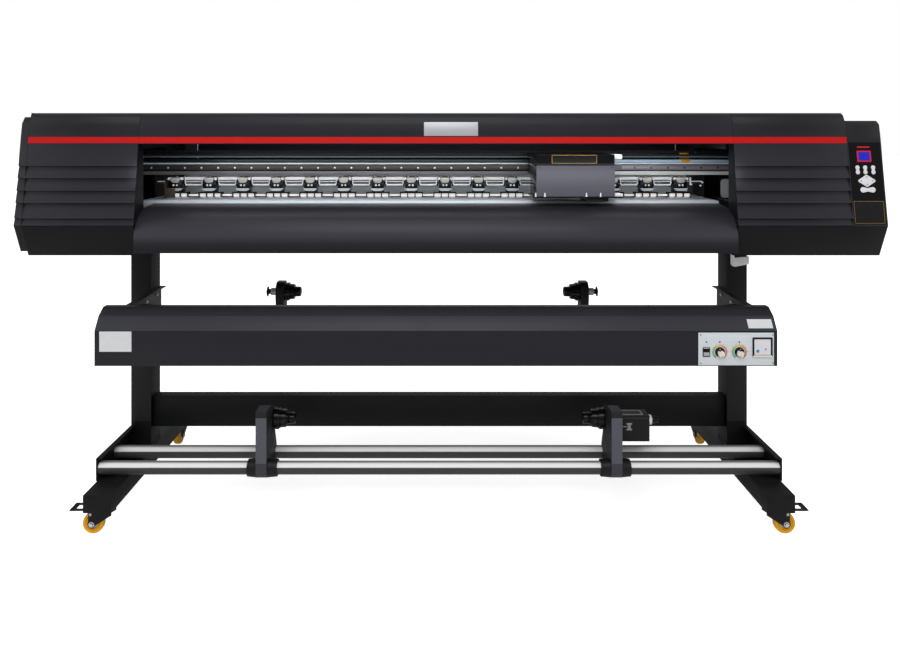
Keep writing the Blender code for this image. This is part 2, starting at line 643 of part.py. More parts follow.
def build_dryer():
    dryer_bracket("dryer_bracket_left", -1)
    dryer_bracket("dryer_bracket_right", 1)
    outline = dryer_outline()
    housing = part("dryer_housing", prism("X", sheet(outline, DRYER_SHEET), DRYER_LEFT_X, DRYER_RIGHT_X), CHARCOAL)
    ends = [prism("X", outline, DRYER_LEFT_X, DRYER_LEFT_X + DRYER_SHEET),
            prism("X", outline, DRYER_RIGHT_X - DRYER_SHEET, DRYER_RIGHT_X)]
    unite(housing, gather(*ends))
    cut(housing, dryer_window())

    inner_y = DRYER_FRONT_Y + DRYER_SHEET + SEAT_GAP
    lamp_left = DRYER_LEFT_X + 0.085
    lamp_right = CONTROL_PLATE_RIGHT_X - CONTROL_PLATE_WIDTH - 0.040
    lamp_z = DRYER_BOTTOM + 0.066
    lamp_y = inner_y + 0.035
    lamp = part("dryer_lamp", rod("X", (lamp_y, lamp_z), lamp_left, lamp_right, LAMP_RADIUS), LAMP_GLASS)
    holders = [box((x, x + 0.030), (inner_y, lamp_y + 0.014), (lamp_z - 0.014, lamp_z + 0.014))
               for x in (lamp_left - 0.001, lamp_right - 0.029)]
    unite(lamp, gather(*holders))

    right = CONTROL_PLATE_RIGHT_X
    left = right - CONTROL_PLATE_WIDTH
    back = DRYER_FRONT_Y - SEAT_GAP
    front = back - CONTROL_PLATE
    z = CONTROL_PLATE_Z
    plate = part("dryer_control_plate", box((left, right), (front, back), (z, z + CONTROL_PLATE_HEIGHT)), PALE_GREY)
    unite(plate, box((right - 0.063, right - 0.005), (front - 0.003, back), (z + 0.025, z + 0.081)))
    switch_x = left + 0.0225
    knobs_x = (left + 0.061, left + 0.061 + KNOB_SPACING)
    bores = [rod("Y", (x, KNOB_Z), front - 0.01, back + 0.01, 0.003 + SHAFT_GAP, 12) for x in knobs_x]
    cut(plate, rocker_hole(switch_x, KNOB_Z, SEAT_GAP), gather(*bores))

    pivot = (switch_x, (front + back) / 2, KNOB_Z)
    rocker = [(-0.0045, 0.0106), (-0.0030, 0), (-0.0045, -0.0106), (0.0040, -0.0085), (0.0040, 0.0085)]
    lean = Matrix.Translation(pivot) @ Matrix.Rotation(math.radians(-7), 4, "X")
    part("dryer_switch", moved(prism("X", rocker, -0.0082, 0.0082), lean), MATT_BLACK, pivot)
    for index, x in enumerate(knobs_x):
        face = front - SEAT_GAP
        profile = [(face - 0.016, 0), (face - 0.016, 0.0080), (face - 0.006, 0.0090), (face - 0.004, KNOB_RADIUS),
                   (face, KNOB_RADIUS), (face, 0.003), (back + 0.008, 0.003), (back + 0.008, 0)]
        origin = (x, face, KNOB_Z)
        part(f"dryer_knob_{index + 1}", turned("Y", (x, KNOB_Z), profile, 24), MATT_BLACK, origin, smooth=True)


# ---------------------------------------------------------------- body


def front_y(z):
    """Depth of the leaning front face at a height."""
    share = (z - CHIN_TOP) / (STRIPE_TOP - CHIN_TOP)
    return CHIN_TOP_Y + share * (STRIPE_TOP_Y - CHIN_TOP_Y)


def crown_line():
    """Outer line of a top cover from the stripe's upper edge, over the top, to the rear."""
    return [(STRIPE_TOP_Y, STRIPE_TOP), (BROW_Y, BROW_Z), (COVER_TOP_Y, COVER_TOP), (BODY_REAR_Y, COVER_TOP)]


def louvred_front():
    """Outer line of an end cover's front: bands that lean in and overhang the next one down."""
    levels = [CHIN_TOP + COVER_GAP] + [CHIN_TOP + height for height in LOUVRE_HEIGHTS]
    line = []
    for low, high in zip(levels, levels[1:]):
        line += [(front_y(low), low), (front_y(high) + LOUVRE_STEP, high)]
    return line + [(front_y(levels[-1]), levels[-1])]


def end_cover(name, near, far, hinge_x):
    """Hinged cover over one end of the carriage's travel, with a side wall at the opening."""
    line = louvred_front() + crown_line() + [(BODY_REAR_Y, COVER_HINGE_Z + SEAT_GAP)]
    origin = (hinge_x, BODY_REAR_Y - SHELL_WALL / 2, COVER_HINGE_Z - 0.001)
    low, high = sorted((near, far))
    cover = part(name, prism("X", sheet(line, SHELL_WALL), low, high), CHARCOAL, origin)
    inner_top = COVER_TOP - 0.001
    wall = [(front_y(CHIN_TOP) + 0.001, CHIN_TOP + COVER_GAP)]
    wall += [(y + 0.001, z) for y, z in louvred_front()[1:]]
    wall += [(STRIPE_TOP_Y + 0.001, STRIPE_TOP), (BROW_Y + 0.001, BROW_Z), (COVER_TOP_Y + 0.001, inner_top),
             (SIDE_WALL_REAR_Y, inner_top), (SIDE_WALL_REAR_Y, CHIN_TOP + COVER_GAP)]
    thickness = SHELL_WALL if far > near else -SHELL_WALL
    unite(cover, prism("X", wall, near, near + thickness))


def tray_line():
    """Outer line of an end shell: rear wall, underside and sloping chin."""
    slope = (CHIN_TOP_Y - CHIN_BOTTOM_Y) / (CHIN_TOP - BODY_BOTTOM)
    return [(BODY_REAR_Y, COVER_HINGE_Z - 0.002), (BODY_REAR_Y, BODY_BOTTOM), (CHIN_BOTTOM_Y, BODY_BOTTOM),
            (CHIN_TOP_Y - slope * CHIN_SEAM, CHIN_TOP - CHIN_SEAM)]


def end_outline(top):
    """Closed side view of an end of the body."""
    line = [(BODY_REAR_Y, BODY_BOTTOM), (CHIN_BOTTOM_Y, BODY_BOTTOM), (CHIN_TOP_Y, CHIN_TOP), (STRIPE_TOP_Y, STRIPE_TOP)]
    line += [(BROW_Y, min(BROW_Z, top) - 0.010), (COVER_TOP_Y, top), (BODY_REAR_Y, top)]
    return line


def cap_outline():
    """Closed side view of the left cap, which repeats the louvres a little inside the end wall."""
    rear = BODY_REAR_Y - CAP_INSET
    low = BODY_BOTTOM + CAP_TRIM
    top = COVER_TOP - CAP_TRIM
    slope = (CHIN_TOP_Y - CHIN_BOTTOM_Y) / (CHIN_TOP - BODY_BOTTOM)
    line = [(rear, low), (CHIN_BOTTOM_Y + slope * CAP_TRIM + CAP_INSET, low)]
    line += [(y + CAP_INSET, z) for y, z in louvred_front()]
    line += [(STRIPE_TOP_Y + CAP_INSET, STRIPE_TOP), (BROW_Y + CAP_INSET, BROW_Z - CAP_INSET)]
    return line + [(COVER_TOP_Y + CAP_INSET, top), (rear, top)]


def post_hole(side):
    gap = 0.002
    depth = POST_DEPTH / 2 + gap
    return box((side * (POST_INNER_X - gap), side * (POST_OUTER_X + gap)), (-depth, depth),
               (BODY_BOTTOM - 0.01, BODY_BOTTOM + SHELL_WALL + 0.001))


def left_end_shell():
    """Lower shell of the left end, closed by its end wall and a slightly smaller cap."""
    inner = LEFT_SEAM_X - COVER_GAP
    shell = part("left_end_shell", prism("X", sheet(tray_line(), SHELL_WALL), LEFT_END_X, inner), CHARCOAL)
    unite(
        shell,
        prism("X", end_outline(COVER_TOP), LEFT_END_X, LEFT_END_X + SHELL_WALL),
        prism("X", cap_outline(), LEFT_CAP_X, LEFT_END_X + WELD),
    )
    cut(shell, post_hole(-1))


def right_end_shell():
    """Lower shell of the right end and the full-height control box beyond the cover."""
    inner = RIGHT_SEAM_X + COVER_GAP
    wall = SHELL_WALL
    shell = part("right_end_shell", prism("X", sheet(tray_line(), wall), inner, CONTROL_BOX_X + 0.010), CHARCOAL)
    unite(shell, prism("X", end_outline(CONTROL_BOX_TOP), CONTROL_BOX_X + COVER_GAP, RIGHT_END_X))
    hollow = [(BODY_REAR_Y - wall, BODY_BOTTOM + wall), (CHIN_BOTTOM_Y + 0.004, BODY_BOTTOM + wall),
              (CHIN_TOP_Y + wall, CHIN_TOP), (STRIPE_TOP_Y + wall, STRIPE_TOP - 0.012),
              (COVER_TOP_Y + wall, CONTROL_BOX_TOP - wall), (BODY_REAR_Y - wall, CONTROL_BOX_TOP - wall)]
    passage = [(BODY_REAR_Y - wall, BODY_BOTTOM + wall), (CHIN_BOTTOM_Y + 0.004, BODY_BOTTOM + wall),
               (CHIN_TOP_Y + wall + 0.001, CHIN_TOP - 0.006), (BODY_REAR_Y - wall, CHIN_TOP - 0.006)]
    lever_slot = box((LEVER_X - 0.006, LEVER_X + 0.016), (LEVER_AXIS[0] - 0.052, LEVER_AXIS[0] + 0.010),
                     (BODY_BOTTOM - 0.01, BODY_BOTTOM + wall + 0.001))
    cut(
        shell,
        prism("X", hollow, CONTROL_BOX_X + COVER_GAP + wall, RIGHT_END_X - wall),
        prism("X", passage, CONTROL_BOX_X - 0.005, CONTROL_BOX_X + 0.020),
        post_hole(1),
        lever_slot,
        panel_block(SEAT_GAP, -0.020, 0.020),
    )


def face_matrix():
    """Frame on the control box's leaning face: X across, Z up the face, -Y outwards."""
    x = CONTROL_BOX_X + CONTROL_BOX_WIDTH / 2
    z = CHIN_TOP + PANEL_MARGIN
    return Matrix.Translation((x, front_y(z), z)) @ Matrix.Rotation(-FACE_LEAN, 4, "X")


def panel_block(gap, front, back):
    half = CONTROL_BOX_WIDTH / 2 - PANEL_MARGIN + gap
    return moved(box((-half, half), (front, back), (-gap, PANEL_LENGTH + gap)), face_matrix())


def lobed_outline(length, width, upright, gap=0.0):
    """Key with two round lobes and a narrower waist."""
    radius = width / 2 + gap
    reach = length / 2 - width / 2
    waist = width * 0.30 + gap
    points = arc((0, reach), radius, -25, 205, 8) + [(-waist, 0)]
    points += arc((0, -reach), radius, 155, 385, 8) + [(waist, 0)]
    return points if upright else [(z, -x) for x, z in points]


def diamond_outline(width, height, gap=0.0):
    """Four-way key: a diamond with rounded corners."""
    points = []
    for turn, reach in ((0, width / 2), (90, height / 2), (180, width / 2), (270, height / 2)):
        corner = 0.004
        angle = math.radians(turn)
        centre = ((reach - corner) * math.cos(angle), (reach - corner) * math.sin(angle))
        points += arc(centre, corner + gap, turn - 50, turn + 50, 4)
    return points


def keys():
    """Each key's name, place up and across the panel, and outline."""
    rows = [(f"key_{label}", x, 0.157, lambda gap: lobed_outline(0.026, 0.0116, True, gap))
            for label, x in (("left", -0.025), ("middle", -0.003), ("right", 0.020))]
    rows.append(("key_four_way", -0.001, 0.125, lambda gap: diamond_outline(0.049, 0.035, gap)))
    rows.append(("key_wide", 0.0, 0.099, lambda gap: lobed_outline(0.0436, 0.016, False, gap)))
    return rows


def control_panel():
    """Panel set into the control box's face, and the five keys that travel through it."""
    panel = part("control_panel", panel_block(0, 0, PANEL_THICKNESS), MATT_BLACK)
    frame = face_matrix()
    holes = []
    for name, x, z, outline in keys():
        place = frame @ Matrix.Translation((x, 0, z))
        holes.append(moved(prism("Y", outline(SEAT_GAP), -0.005, PANEL_THICKNESS + 0.005), place))
        origin = place @ Vector((0, 0, 0))
        key = part(name, moved(prism("Y", outline(0), -0.0015, PANEL_THICKNESS + 0.001), place), WHITE, origin)
        back = PANEL_THICKNESS + SEAT_GAP
        unite(key, moved(prism("Y", outline(KEY_FLANGE), back, back + 0.0012), place))
    cut(panel, gather(*holes))


def apron():
    """Front media apron: flat from the platen, then curved over and down."""
    lip_y = PLATEN_FRONT_Y - SEAT_GAP * 2
    z = PLATEN_Z
    line = [(CHIN_TOP_Y + 0.010, z - 0.136), (CHIN_TOP_Y, z - 0.136), (CHIN_TOP_Y, z - 0.100), (CHIN_TOP_Y + 0.002, z - 0.081),
            (CHIN_TOP_Y + 0.012, z - 0.059), (CHIN_TOP_Y + 0.024, z - 0.044), (CHIN_TOP_Y + 0.036, z - 0.033),
            (CHIN_TOP_Y + 0.054, z - 0.022), (CHIN_TOP_Y + 0.073, z - 0.013), (lip_y, z - 0.007), (lip_y, z - LIP_DEPTH)]
    outline = sheet(line, APRON_SHEET)
    part("apron", prism("X", outline, LEFT_SEAM_X + COVER_GAP, RIGHT_SEAM_X - COVER_GAP), CHARCOAL)


def platen():
    """Flat printing bed with a trough for the grit roller and a curved rear guide."""
    z = PLATEN_Z
    floor_z = z - GRIT_RADIUS * 2 - 0.004
    line = [(PLATEN_FRONT_Y, z - LIP_DEPTH), (PLATEN_FRONT_Y, z), (GRIT_Y - TROUGH_HALF, z), (GRIT_Y - TROUGH_HALF, floor_z),
            (GRIT_Y + TROUGH_HALF, floor_z), (GRIT_Y + TROUGH_HALF, z)]
    line += arc((PLATEN_REAR_Y, z - REAR_GUIDE_RADIUS), REAR_GUIDE_RADIUS, 90, 0, 6)
    part("platen", prism("X", sheet(line, 0.003), PLATEN_LEFT_X, RIGHT_SEAM_X), PALE_GREY)


def side_frame_outline():
    """Side frame: open at the front where the carriage, beam and belt pass through."""
    front = SIDE_FRAME_FRONT_Y
    low = CHASSIS_Z + 0.004
    bed = PLATEN_Z - 0.0033
    ledge = RAIL_BEAM_Z - SEAT_GAP
    column = RAIL_BEAM_REAR_Y + SEAT_GAP
    roof = CARRIAGE_TOP + 0.016
    top = COVER_TOP - SHELL_WALL - SEAT_GAP
    rear = SIDE_FRAME_REAR_Y
    return [(front, low), (rear, low), (rear, top), (SIDE_WALL_REAR_Y + 0.026, top), (SIDE_WALL_REAR_Y + 0.026, roof),
            (column, roof), (column, ledge), (-0.034, ledge), (-0.034, bed), (front, bed)]


def chassis():
    """Base beam on the posts, platen risers and the two side frames, welded together."""
    end = POST_OUTER_X + 0.009
    top = CHASSIS_Z + BEAM_HEIGHT
    half = BEAM_HALF_DEPTH
    frame = part("chassis", box((-end, end), (-half, half), (CHASSIS_Z, top)), STAND_BLACK)
    left = PLATEN_LEFT_X - SEAT_GAP
    right = RIGHT_SEAM_X + SEAT_GAP
    bed = PLATEN_Z - 0.003 - SEAT_GAP
    risers = [box((left - WELD, right + WELD), (y, y + RISER), (top - WELD, bed)) for y in (GRIT_Y + 0.032, PLATEN_REAR_Y - 0.043)]
    outline = side_frame_outline()
    cut(frame, box((-end - 0.01, end + 0.01), (BEAM_WALL - half, half - BEAM_WALL), (CHASSIS_Z + BEAM_WALL, top - BEAM_WALL)))
    unite(
        frame,
        gather(prism("X", outline, left - SIDE_FRAME, left), prism("X", outline, right, right + SIDE_FRAME)),
    )
    unite(frame, gather(*risers))
    reach = (left - 0.02, right + 0.02)
    cut(
        frame,
        box(reach, (0.012 - half, half - 0.012), (CHASSIS_Z + 0.010, top - 0.010)),
        rod("X", (GRIT_Y, PLATEN_Z - GRIT_RADIUS), reach[0], reach[1], 0.006 + SHAFT_GAP, 16),
        rod("X", PINCH_AXIS, reach[0], reach[1], PINCH_SHAFT_RADIUS + SHAFT_GAP, 16),
        rod("X", LEVER_AXIS, right - 0.02, right + 0.02, 0.005 + SHAFT_GAP, 16),
    )


def centre_cover():
    """Fixed cover over the beam, from the lip above the opening round to the rear."""
    line = [(front_y(CENTRE_LIP_Z), CENTRE_LIP_Z)] + crown_line() + [(BODY_REAR_Y, REAR_SLOT_Z)]
    part("centre_cover", prism("X", sheet(line, SHELL_WALL), LEFT_SEAM_X + COVER_GAP, RIGHT_SEAM_X - COVER_GAP), CHARCOAL)


def build_body():
    chassis()
    left_end_shell()
    right_end_shell()
    end_cover("left_cover", LEFT_SEAM_X, LEFT_END_X + SHELL_WALL + COVER_GAP, LEFT_SEAM_X)
    end_cover("right_cover", RIGHT_SEAM_X, CONTROL_BOX_X, RIGHT_SEAM_X)
    centre_cover()
    platen()
    apron()
    control_panel()


# ---------------------------------------------------------------- print unit


def rail_beam():
    """Hollow beam with the carriage's linear rail on its front."""
    y = (RAIL_BEAM_FRONT_Y, RAIL_BEAM_REAR_Y)
    z = (RAIL_BEAM_Z, RAIL_BEAM_Z + RAIL_BEAM_HEIGHT)
    beam = part("rail_beam", box((BEAM_LEFT_X, BEAM_RIGHT_X), y, z), ALUMINIUM)
    wall = 0.003
    cut(beam, box((BEAM_LEFT_X - 0.01, BEAM_RIGHT_X + 0.01), (y[0] + wall, y[1] - wall), (z[0] + wall, z[1] - wall)))
    rail = box((BEAM_LEFT_X + 0.005, BEAM_RIGHT_X - 0.005), (y[0] - RAIL_DEPTH, y[0] + WELD), (RAIL_Z, RAIL_Z + RAIL_HEIGHT))
    unite(beam, rail)


def pulley_profile(base, bore):
    """Flanged pulley: hub from base up, rim inside the belt, open through its bore."""
    low = BELT_Z - SEAT_GAP
    high = BELT_Z + BELT_HEIGHT + SEAT_GAP
    flange = PULLEY_RADIUS + 0.0033
    profile = [(base, 0.007), (low - 0.0017, 0.007), (low - 0.0017, flange), (low, flange), (low, PULLEY_RADIUS),
               (high, PULLEY_RADIUS), (high, flange), (high + 0.0017, flange)]
    if bore:
        return profile + [(high + 0.0017, bore), (base, bore)]
    return [(base, 0)] + profile + [(high + 0.0017, 0)]


def belt_drive():
    """Toothed belt loop, its idler on the beam and the motor that turns the drive pulley."""
    beam_top = RAIL_BEAM_Z + RAIL_BEAM_HEIGHT
    idler_x = BEAM_LEFT_X + 0.030
    drive_x = BEAM_RIGHT_X + SEAT_GAP + MOTOR_SIZE / 2
    idler = turned("Z", (idler_x, BELT_Y), pulley_profile(beam_top + SEAT_GAP, 0), 24)
    part("idler_pulley", idler, ALUMINIUM, (idler_x, BELT_Y, BELT_Z), smooth=True)
    motor_top = BELT_Z - 0.008
    half = MOTOR_SIZE / 2
    motor = part("carriage_motor", box((drive_x - half, drive_x + half), (BELT_Y - half, BELT_Y + half),
                                       (motor_top - MOTOR_HEIGHT, motor_top)), MATT_BLACK)
    unite(motor, rod("Z", (drive_x, BELT_Y), motor_top - 0.002, BELT_Z + BELT_HEIGHT, 0.004, 16))
    drive = turned("Z", (drive_x, BELT_Y), pulley_profile(motor_top + SEAT_GAP, 0.004 + SHAFT_GAP), 24)
    part("drive_pulley", drive, ALUMINIUM, (drive_x, BELT_Y, BELT_Z), smooth=True)
    loops = []
    for radius in (PULLEY_RADIUS + SEAT_GAP + BELT, PULLEY_RADIUS + SEAT_GAP):
        outline = arc((drive_x, BELT_Y), radius, -90, 90, 12) + arc((idler_x, BELT_Y), radius, 90, 270, 12)
        loops.append(outline)
    belt = part("drive_belt", prism("Z", loops[0], BELT_Z, BELT_Z + BELT_HEIGHT), MATT_BLACK)
    cut(belt, prism("Z", loops[1], BELT_Z - 0.01, BELT_Z + BELT_HEIGHT + 0.01))


def carriage():
    """Carriage that hooks round the linear rail and reaches back to the belt, with plate and head."""
    left = CARRIAGE_X
    right = left + CARRIAGE_WIDTH
    front = CARRIAGE_FRONT_Y + PLATE + SEAT_GAP
    shoe = RAIL_BEAM_FRONT_Y - 0.001
    slot = RAIL_BEAM_FRONT_Y - RAIL_DEPTH - SHAFT_GAP
    rail_low = RAIL_Z - SHAFT_GAP
    rail_high = RAIL_Z + RAIL_HEIGHT + SHAFT_GAP
    belt_front = BELT_Y - PULLEY_RADIUS - SEAT_GAP - BELT - SEAT_GAP
    clamp = RAIL_BEAM_Z + RAIL_BEAM_HEIGHT + 0.004
    top = CARRIAGE_TOP
    outline = [(front, CARRIAGE_BOTTOM), (CARRIAGE_BACK_Y, CARRIAGE_BOTTOM), (CARRIAGE_BACK_Y, RAIL_Z + 0.006),
               (slot - 0.026, RAIL_Z + 0.006), (slot - 0.026, rail_low - 0.006), (shoe, rail_low - 0.006), (shoe, rail_low),
               (slot, rail_low), (slot, rail_high), (shoe, rail_high), (shoe, clamp), (belt_front, clamp),
               (belt_front, top), (front, top)]
    origin = ((left + right) / 2, RAIL_BEAM_FRONT_Y, RAIL_Z)
    body = part("carriage_body", prism("X", outline, left, right), MATT_BLACK, origin)
    base = CARRIAGE_BOTTOM - 0.004
    unite(body, box((left - 0.009, right + 0.024), (CARRIAGE_FRONT_Y + 0.002, -0.110), (base, CARRIAGE_BOTTOM + 0.0005)))
    plate_z = (CARRIAGE_BOTTOM + 0.0008, CARRIAGE_TOP - 0.032)
    plate_y = (CARRIAGE_FRONT_Y, CARRIAGE_FRONT_Y + PLATE)
    part("carriage_plate", box((left, right), plate_y, plate_z), MID_GREY, origin)
    head_z = (PLATEN_Z + HEAD_GAP, base - SEAT_GAP)
    part("print_head", box((left + 0.147, left + 0.215), (CARRIAGE_FRONT_Y + 0.005, -0.120), head_z), MATT_BLACK, origin)


def pinch_centres():
    """x of every pinch unit, as many as fit the opening at their pitch."""
    first = LEFT_SEAM_X + PINCH_FIRST
    count = int((RIGHT_SEAM_X - PINCH_LAST - first) / PINCH_PITCH + 1.001)
    return [first + PINCH_PITCH * index for index in range(count)]


def pinch_bar():
    """Shaft with one arm for each pinch unit: housing, neck and wheel frame."""
    y, z = PINCH_AXIS
    bottom = PLATEN_Z + 0.0028
    centres = pinch_centres()
    origin = (0, y, z)
    ends = (PLATEN_LEFT_X - SEAT_GAP - 0.005, RIGHT_SEAM_X + SEAT_GAP + 0.005)
    bar = part("pinch_bar", rod("X", PINCH_AXIS, ends[0], ends[1], PINCH_SHAFT_RADIUS, 12), MATT_BLACK, origin)
    arm = [(GRIT_Y - 0.025, z - 0.016), (GRIT_Y - 0.025, z + 0.019), (y + 0.006, z + 0.019), (y + 0.006, z - 0.014),
           (GRIT_Y + 0.020, z - 0.016), (GRIT_Y + 0.020, bottom + 0.014), (GRIT_Y - 0.015, bottom + 0.014),
           (GRIT_Y - 0.015, z - 0.016)]
    frame_y = (GRIT_Y - 0.016, GRIT_Y + 0.014)
    unite(bar, gather(*[prism("X", arm, x - 0.020, x + 0.020) for x in centres]))
    unite(bar, gather(*[box((x - 0.0368, x + 0.0368), frame_y, (bottom, bottom + 0.0158)) for x in centres]))
    well_y = (GRIT_Y - 0.010, GRIT_Y + 0.010)
    cut(bar, gather(*[box((x - 0.0340, x + 0.0340), well_y, (bottom - 0.01, PINCH_WHEEL_Z + 0.0090)) for x in centres]))
    cut(bar, rod("X", (GRIT_Y, PINCH_WHEEL_Z), centres[0] - 0.1, centres[-1] + 0.1, 0.0025 + SHAFT_GAP, 12))


def rollers():
    """Grit roller in the platen's trough, and the pinch rollers above it on their common axle."""
    ends = (PLATEN_LEFT_X - SEAT_GAP - 0.005, RIGHT_SEAM_X + SEAT_GAP + 0.005)
    shoulder = 0.001
    profile = [(ends[0], 0), (ends[0], 0.006), (PLATEN_LEFT_X + shoulder, 0.006), (PLATEN_LEFT_X + shoulder, GRIT_RADIUS),
               (RIGHT_SEAM_X - shoulder, GRIT_RADIUS), (RIGHT_SEAM_X - shoulder, 0.006), (ends[1], 0.006), (ends[1], 0)]
    axis = (GRIT_Y, PLATEN_Z - GRIT_RADIUS)
    part("grit_roller", turned("X", axis, profile), STEEL, (0, *axis), smooth=True)
    centres = pinch_centres()
    axle = 0.0025
    profile = [(centres[0] - 0.0365, 0), (centres[0] - 0.0365, axle)]
    for x in centres:
        profile += [(x - 0.0335, axle), (x - 0.0335, PINCH_WHEEL_RADIUS), (x + 0.0335, PINCH_WHEEL_RADIUS), (x + 0.0335, axle)]
    profile += [(centres[-1] + 0.0365, axle), (centres[-1] + 0.0365, 0)]
    axis = (GRIT_Y, PINCH_WHEEL_Z)
    part("pinch_rollers", turned("X", axis, profile, 12), WHITE, (0, *axis), smooth=True)


def lift_lever():
    """Lever that lifts the pinch bar: its paddle hangs below the right end by the post."""
    y, z = LEVER_AXIS
    x = LEVER_X
    start = RIGHT_SEAM_X + SEAT_GAP + 0.001
    lever = part("lift_lever", rod("X", LEVER_AXIS, start, x + 0.005, 0.005, 16), WHITE, (x, y, z))
    paddle = [(x, z - 0.045), (x + 0.009, z - 0.048), (x + 0.012, z - 0.052), (x + 0.055, z - 0.048), (x + 0.055, z - 0.072),
              (x + 0.012, z - 0.080), (x + 0.004, z - 0.078), (x, z - 0.072)]
    unite(
        lever,
        box((x, x + 0.009), (y - 0.004, y + 0.004), (z - 0.050, z + 0.002)),
        prism("Y", paddle, y - 0.0035, y + 0.0035),
    )


def capping_station():
    """Parking and cleaning station on the right end of the base beam."""
    x = RIGHT_SEAM_X + 0.041
    top = PLATEN_Z - 0.004
    beam_top = CHASSIS_Z + BEAM_HEIGHT
    station = part("capping_station", box((x, x + 0.100), (-0.084, 0.020), (beam_top + SEAT_GAP, top)), MID_GREY)
    unite(
        station,
        box((x - 0.005, x + 0.205), (-0.235, -0.060), (top - 0.030, top + 0.001)),
        box((x - 0.002, x + 0.100), (-0.0845, -0.0805), (top - 0.010, PLATEN_Z + 0.064)),
    )


def build_print_unit():
    rail_beam()
    belt_drive()
    carriage()
    pinch_bar()
    rollers()
    lift_lever()
    capping_station()


build_stand()
build_media_holders()
build_dryer()
build_body()
build_print_unit()
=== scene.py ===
"""Looks of a wide-format roll printer: its finishes, its small pieces, a studio and a camera."""

import json
import math

import bmesh
import bpy
from mathutils import Matrix, Vector


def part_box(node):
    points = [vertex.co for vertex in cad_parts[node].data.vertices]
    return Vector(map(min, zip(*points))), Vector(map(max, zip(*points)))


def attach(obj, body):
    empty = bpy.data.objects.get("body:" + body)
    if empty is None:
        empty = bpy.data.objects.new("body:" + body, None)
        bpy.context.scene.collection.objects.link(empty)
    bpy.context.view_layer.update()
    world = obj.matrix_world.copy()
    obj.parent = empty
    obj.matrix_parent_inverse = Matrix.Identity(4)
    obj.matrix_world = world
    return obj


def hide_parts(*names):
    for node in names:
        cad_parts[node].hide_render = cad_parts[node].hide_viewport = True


bl_info = {
    "name": "Roll Printer Looks",
    "version": (1, 0, 0),
    "blender": (4, 5, 0),
    "location": "View3D > Sidebar > Roll Printer",
    "description": "Dresses a packed roll printer with finished surfaces and small pieces",
    "category": "Object",
}

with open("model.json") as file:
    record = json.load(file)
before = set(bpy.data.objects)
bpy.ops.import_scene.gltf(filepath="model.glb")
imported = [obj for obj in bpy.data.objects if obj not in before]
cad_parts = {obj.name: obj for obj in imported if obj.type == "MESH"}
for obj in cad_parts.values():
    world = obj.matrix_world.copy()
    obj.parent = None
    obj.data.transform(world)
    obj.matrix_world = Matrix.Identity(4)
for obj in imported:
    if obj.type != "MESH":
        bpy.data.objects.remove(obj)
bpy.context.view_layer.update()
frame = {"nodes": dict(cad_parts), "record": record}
NODES = frame["nodes"]
BODY_OF = {
    node: body for body, nodes in frame["record"]["behaviour"]["bodies"].items() for node in nodes
}
CORNERS = ("front_left", "front_right", "rear_left", "rear_right")
SIDES = (("left", -1), ("right", 1))

# The stand's midplane, from which every x below is measured
MID = (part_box("left_leg")[0][0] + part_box("right_leg")[1][0]) / 2
# Turns that lay a shape made along Z onto each axis
TURNS = {
    "X": Matrix(((0, 0, 1, 0), (1, 0, 0, 0), (0, 1, 0, 0), (0, 0, 0, 1))),
    "Y": Matrix(((1, 0, 0, 0), (0, 0, 1, 0), (0, -1, 0, 0), (0, 0, 0, 1))),
    "Z": Matrix.Identity(4),
}

# Axes that run across the machine, as (y, z)
FRONT_TUBE = (-0.263, 0.159)
REAR_TUBE = (-0.153, 0.159)
TAKEUP_CORE = (-0.188, 0.277)
FEED_CORE = (0.172, 0.586)
PINCH_AXLE = (-0.060, 0.9463)
PINCH_SHAFT = (-0.020, 0.985)
PINCH_PITCH = 0.1076
PINCH_HALF = 0.0365


def extent(node):
    """Lowest and highest corner of a CAD node, with x from the stand's midplane."""
    low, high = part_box(node)
    return Vector((low[0] - MID, low[1], low[2])), Vector((high[0] - MID, high[1], high[2]))


def tone(red, green, blue):
    """Linear colour of an 8-bit screen colour."""
    values = (channel / 255 for channel in (red, green, blue))
    return tuple(v / 12.92 if v <= 0.04045 else ((v + 0.055) / 1.055) ** 2.4 for v in values)


# ---------------------------------------------------------------- settings


def colour_setting(name, description, value):
    """A colour that the user can change."""
    return bpy.props.FloatVectorProperty(
        name=name, description=description, default=value, subtype="COLOR", size=3, min=0, max=1
    )


def length_setting(name, description, value, low=0.0001, high=1.0):
    """A length in metres that the user can change."""
    return bpy.props.FloatProperty(
        name=name, description=description, default=value, min=low, max=high, subtype="DISTANCE",
        unit="LENGTH"
    )


def power_setting(name, description, value, subtype="POWER"):
    """A light's strength that the user can change."""
    return bpy.props.FloatProperty(
        name=name, description=description, default=value, min=0, subtype=subtype
    )


class PrinterColours(bpy.types.PropertyGroup):
    """Paint, plastic and metal colours."""

    body: colour_setting(
        "Body", "Charcoal powder coat of the printer's body and dryer", tone(36, 36, 41)
    )
    stand: colour_setting("Stand", "Black powder coat of the stand", tone(30, 31, 31))
    stripe: colour_setting("Stripe", "Red band along the front", tone(190, 5, 8))
    plastic: colour_setting("Black plastic", "Moulded black plastic", tone(20, 20, 23))
    arm: colour_setting("Arm", "Dark grey take-up arms", tone(86, 87, 95))
    wheel: colour_setting("Wheel", "Caster wheels", tone(255, 186, 22))
    plate: colour_setting(
        "Control plate", "Pale plate of the dryer's controls", tone(220, 227, 231)
    )
    carriage: colour_setting("Carriage plate", "Front plate of the carriage", tone(88, 88, 97))
    key: colour_setting("Key", "Keys, tabs and the lift lever", tone(224, 224, 228))
    display: colour_setting("Display", "Lit display of the control panel", tone(24, 28, 190))


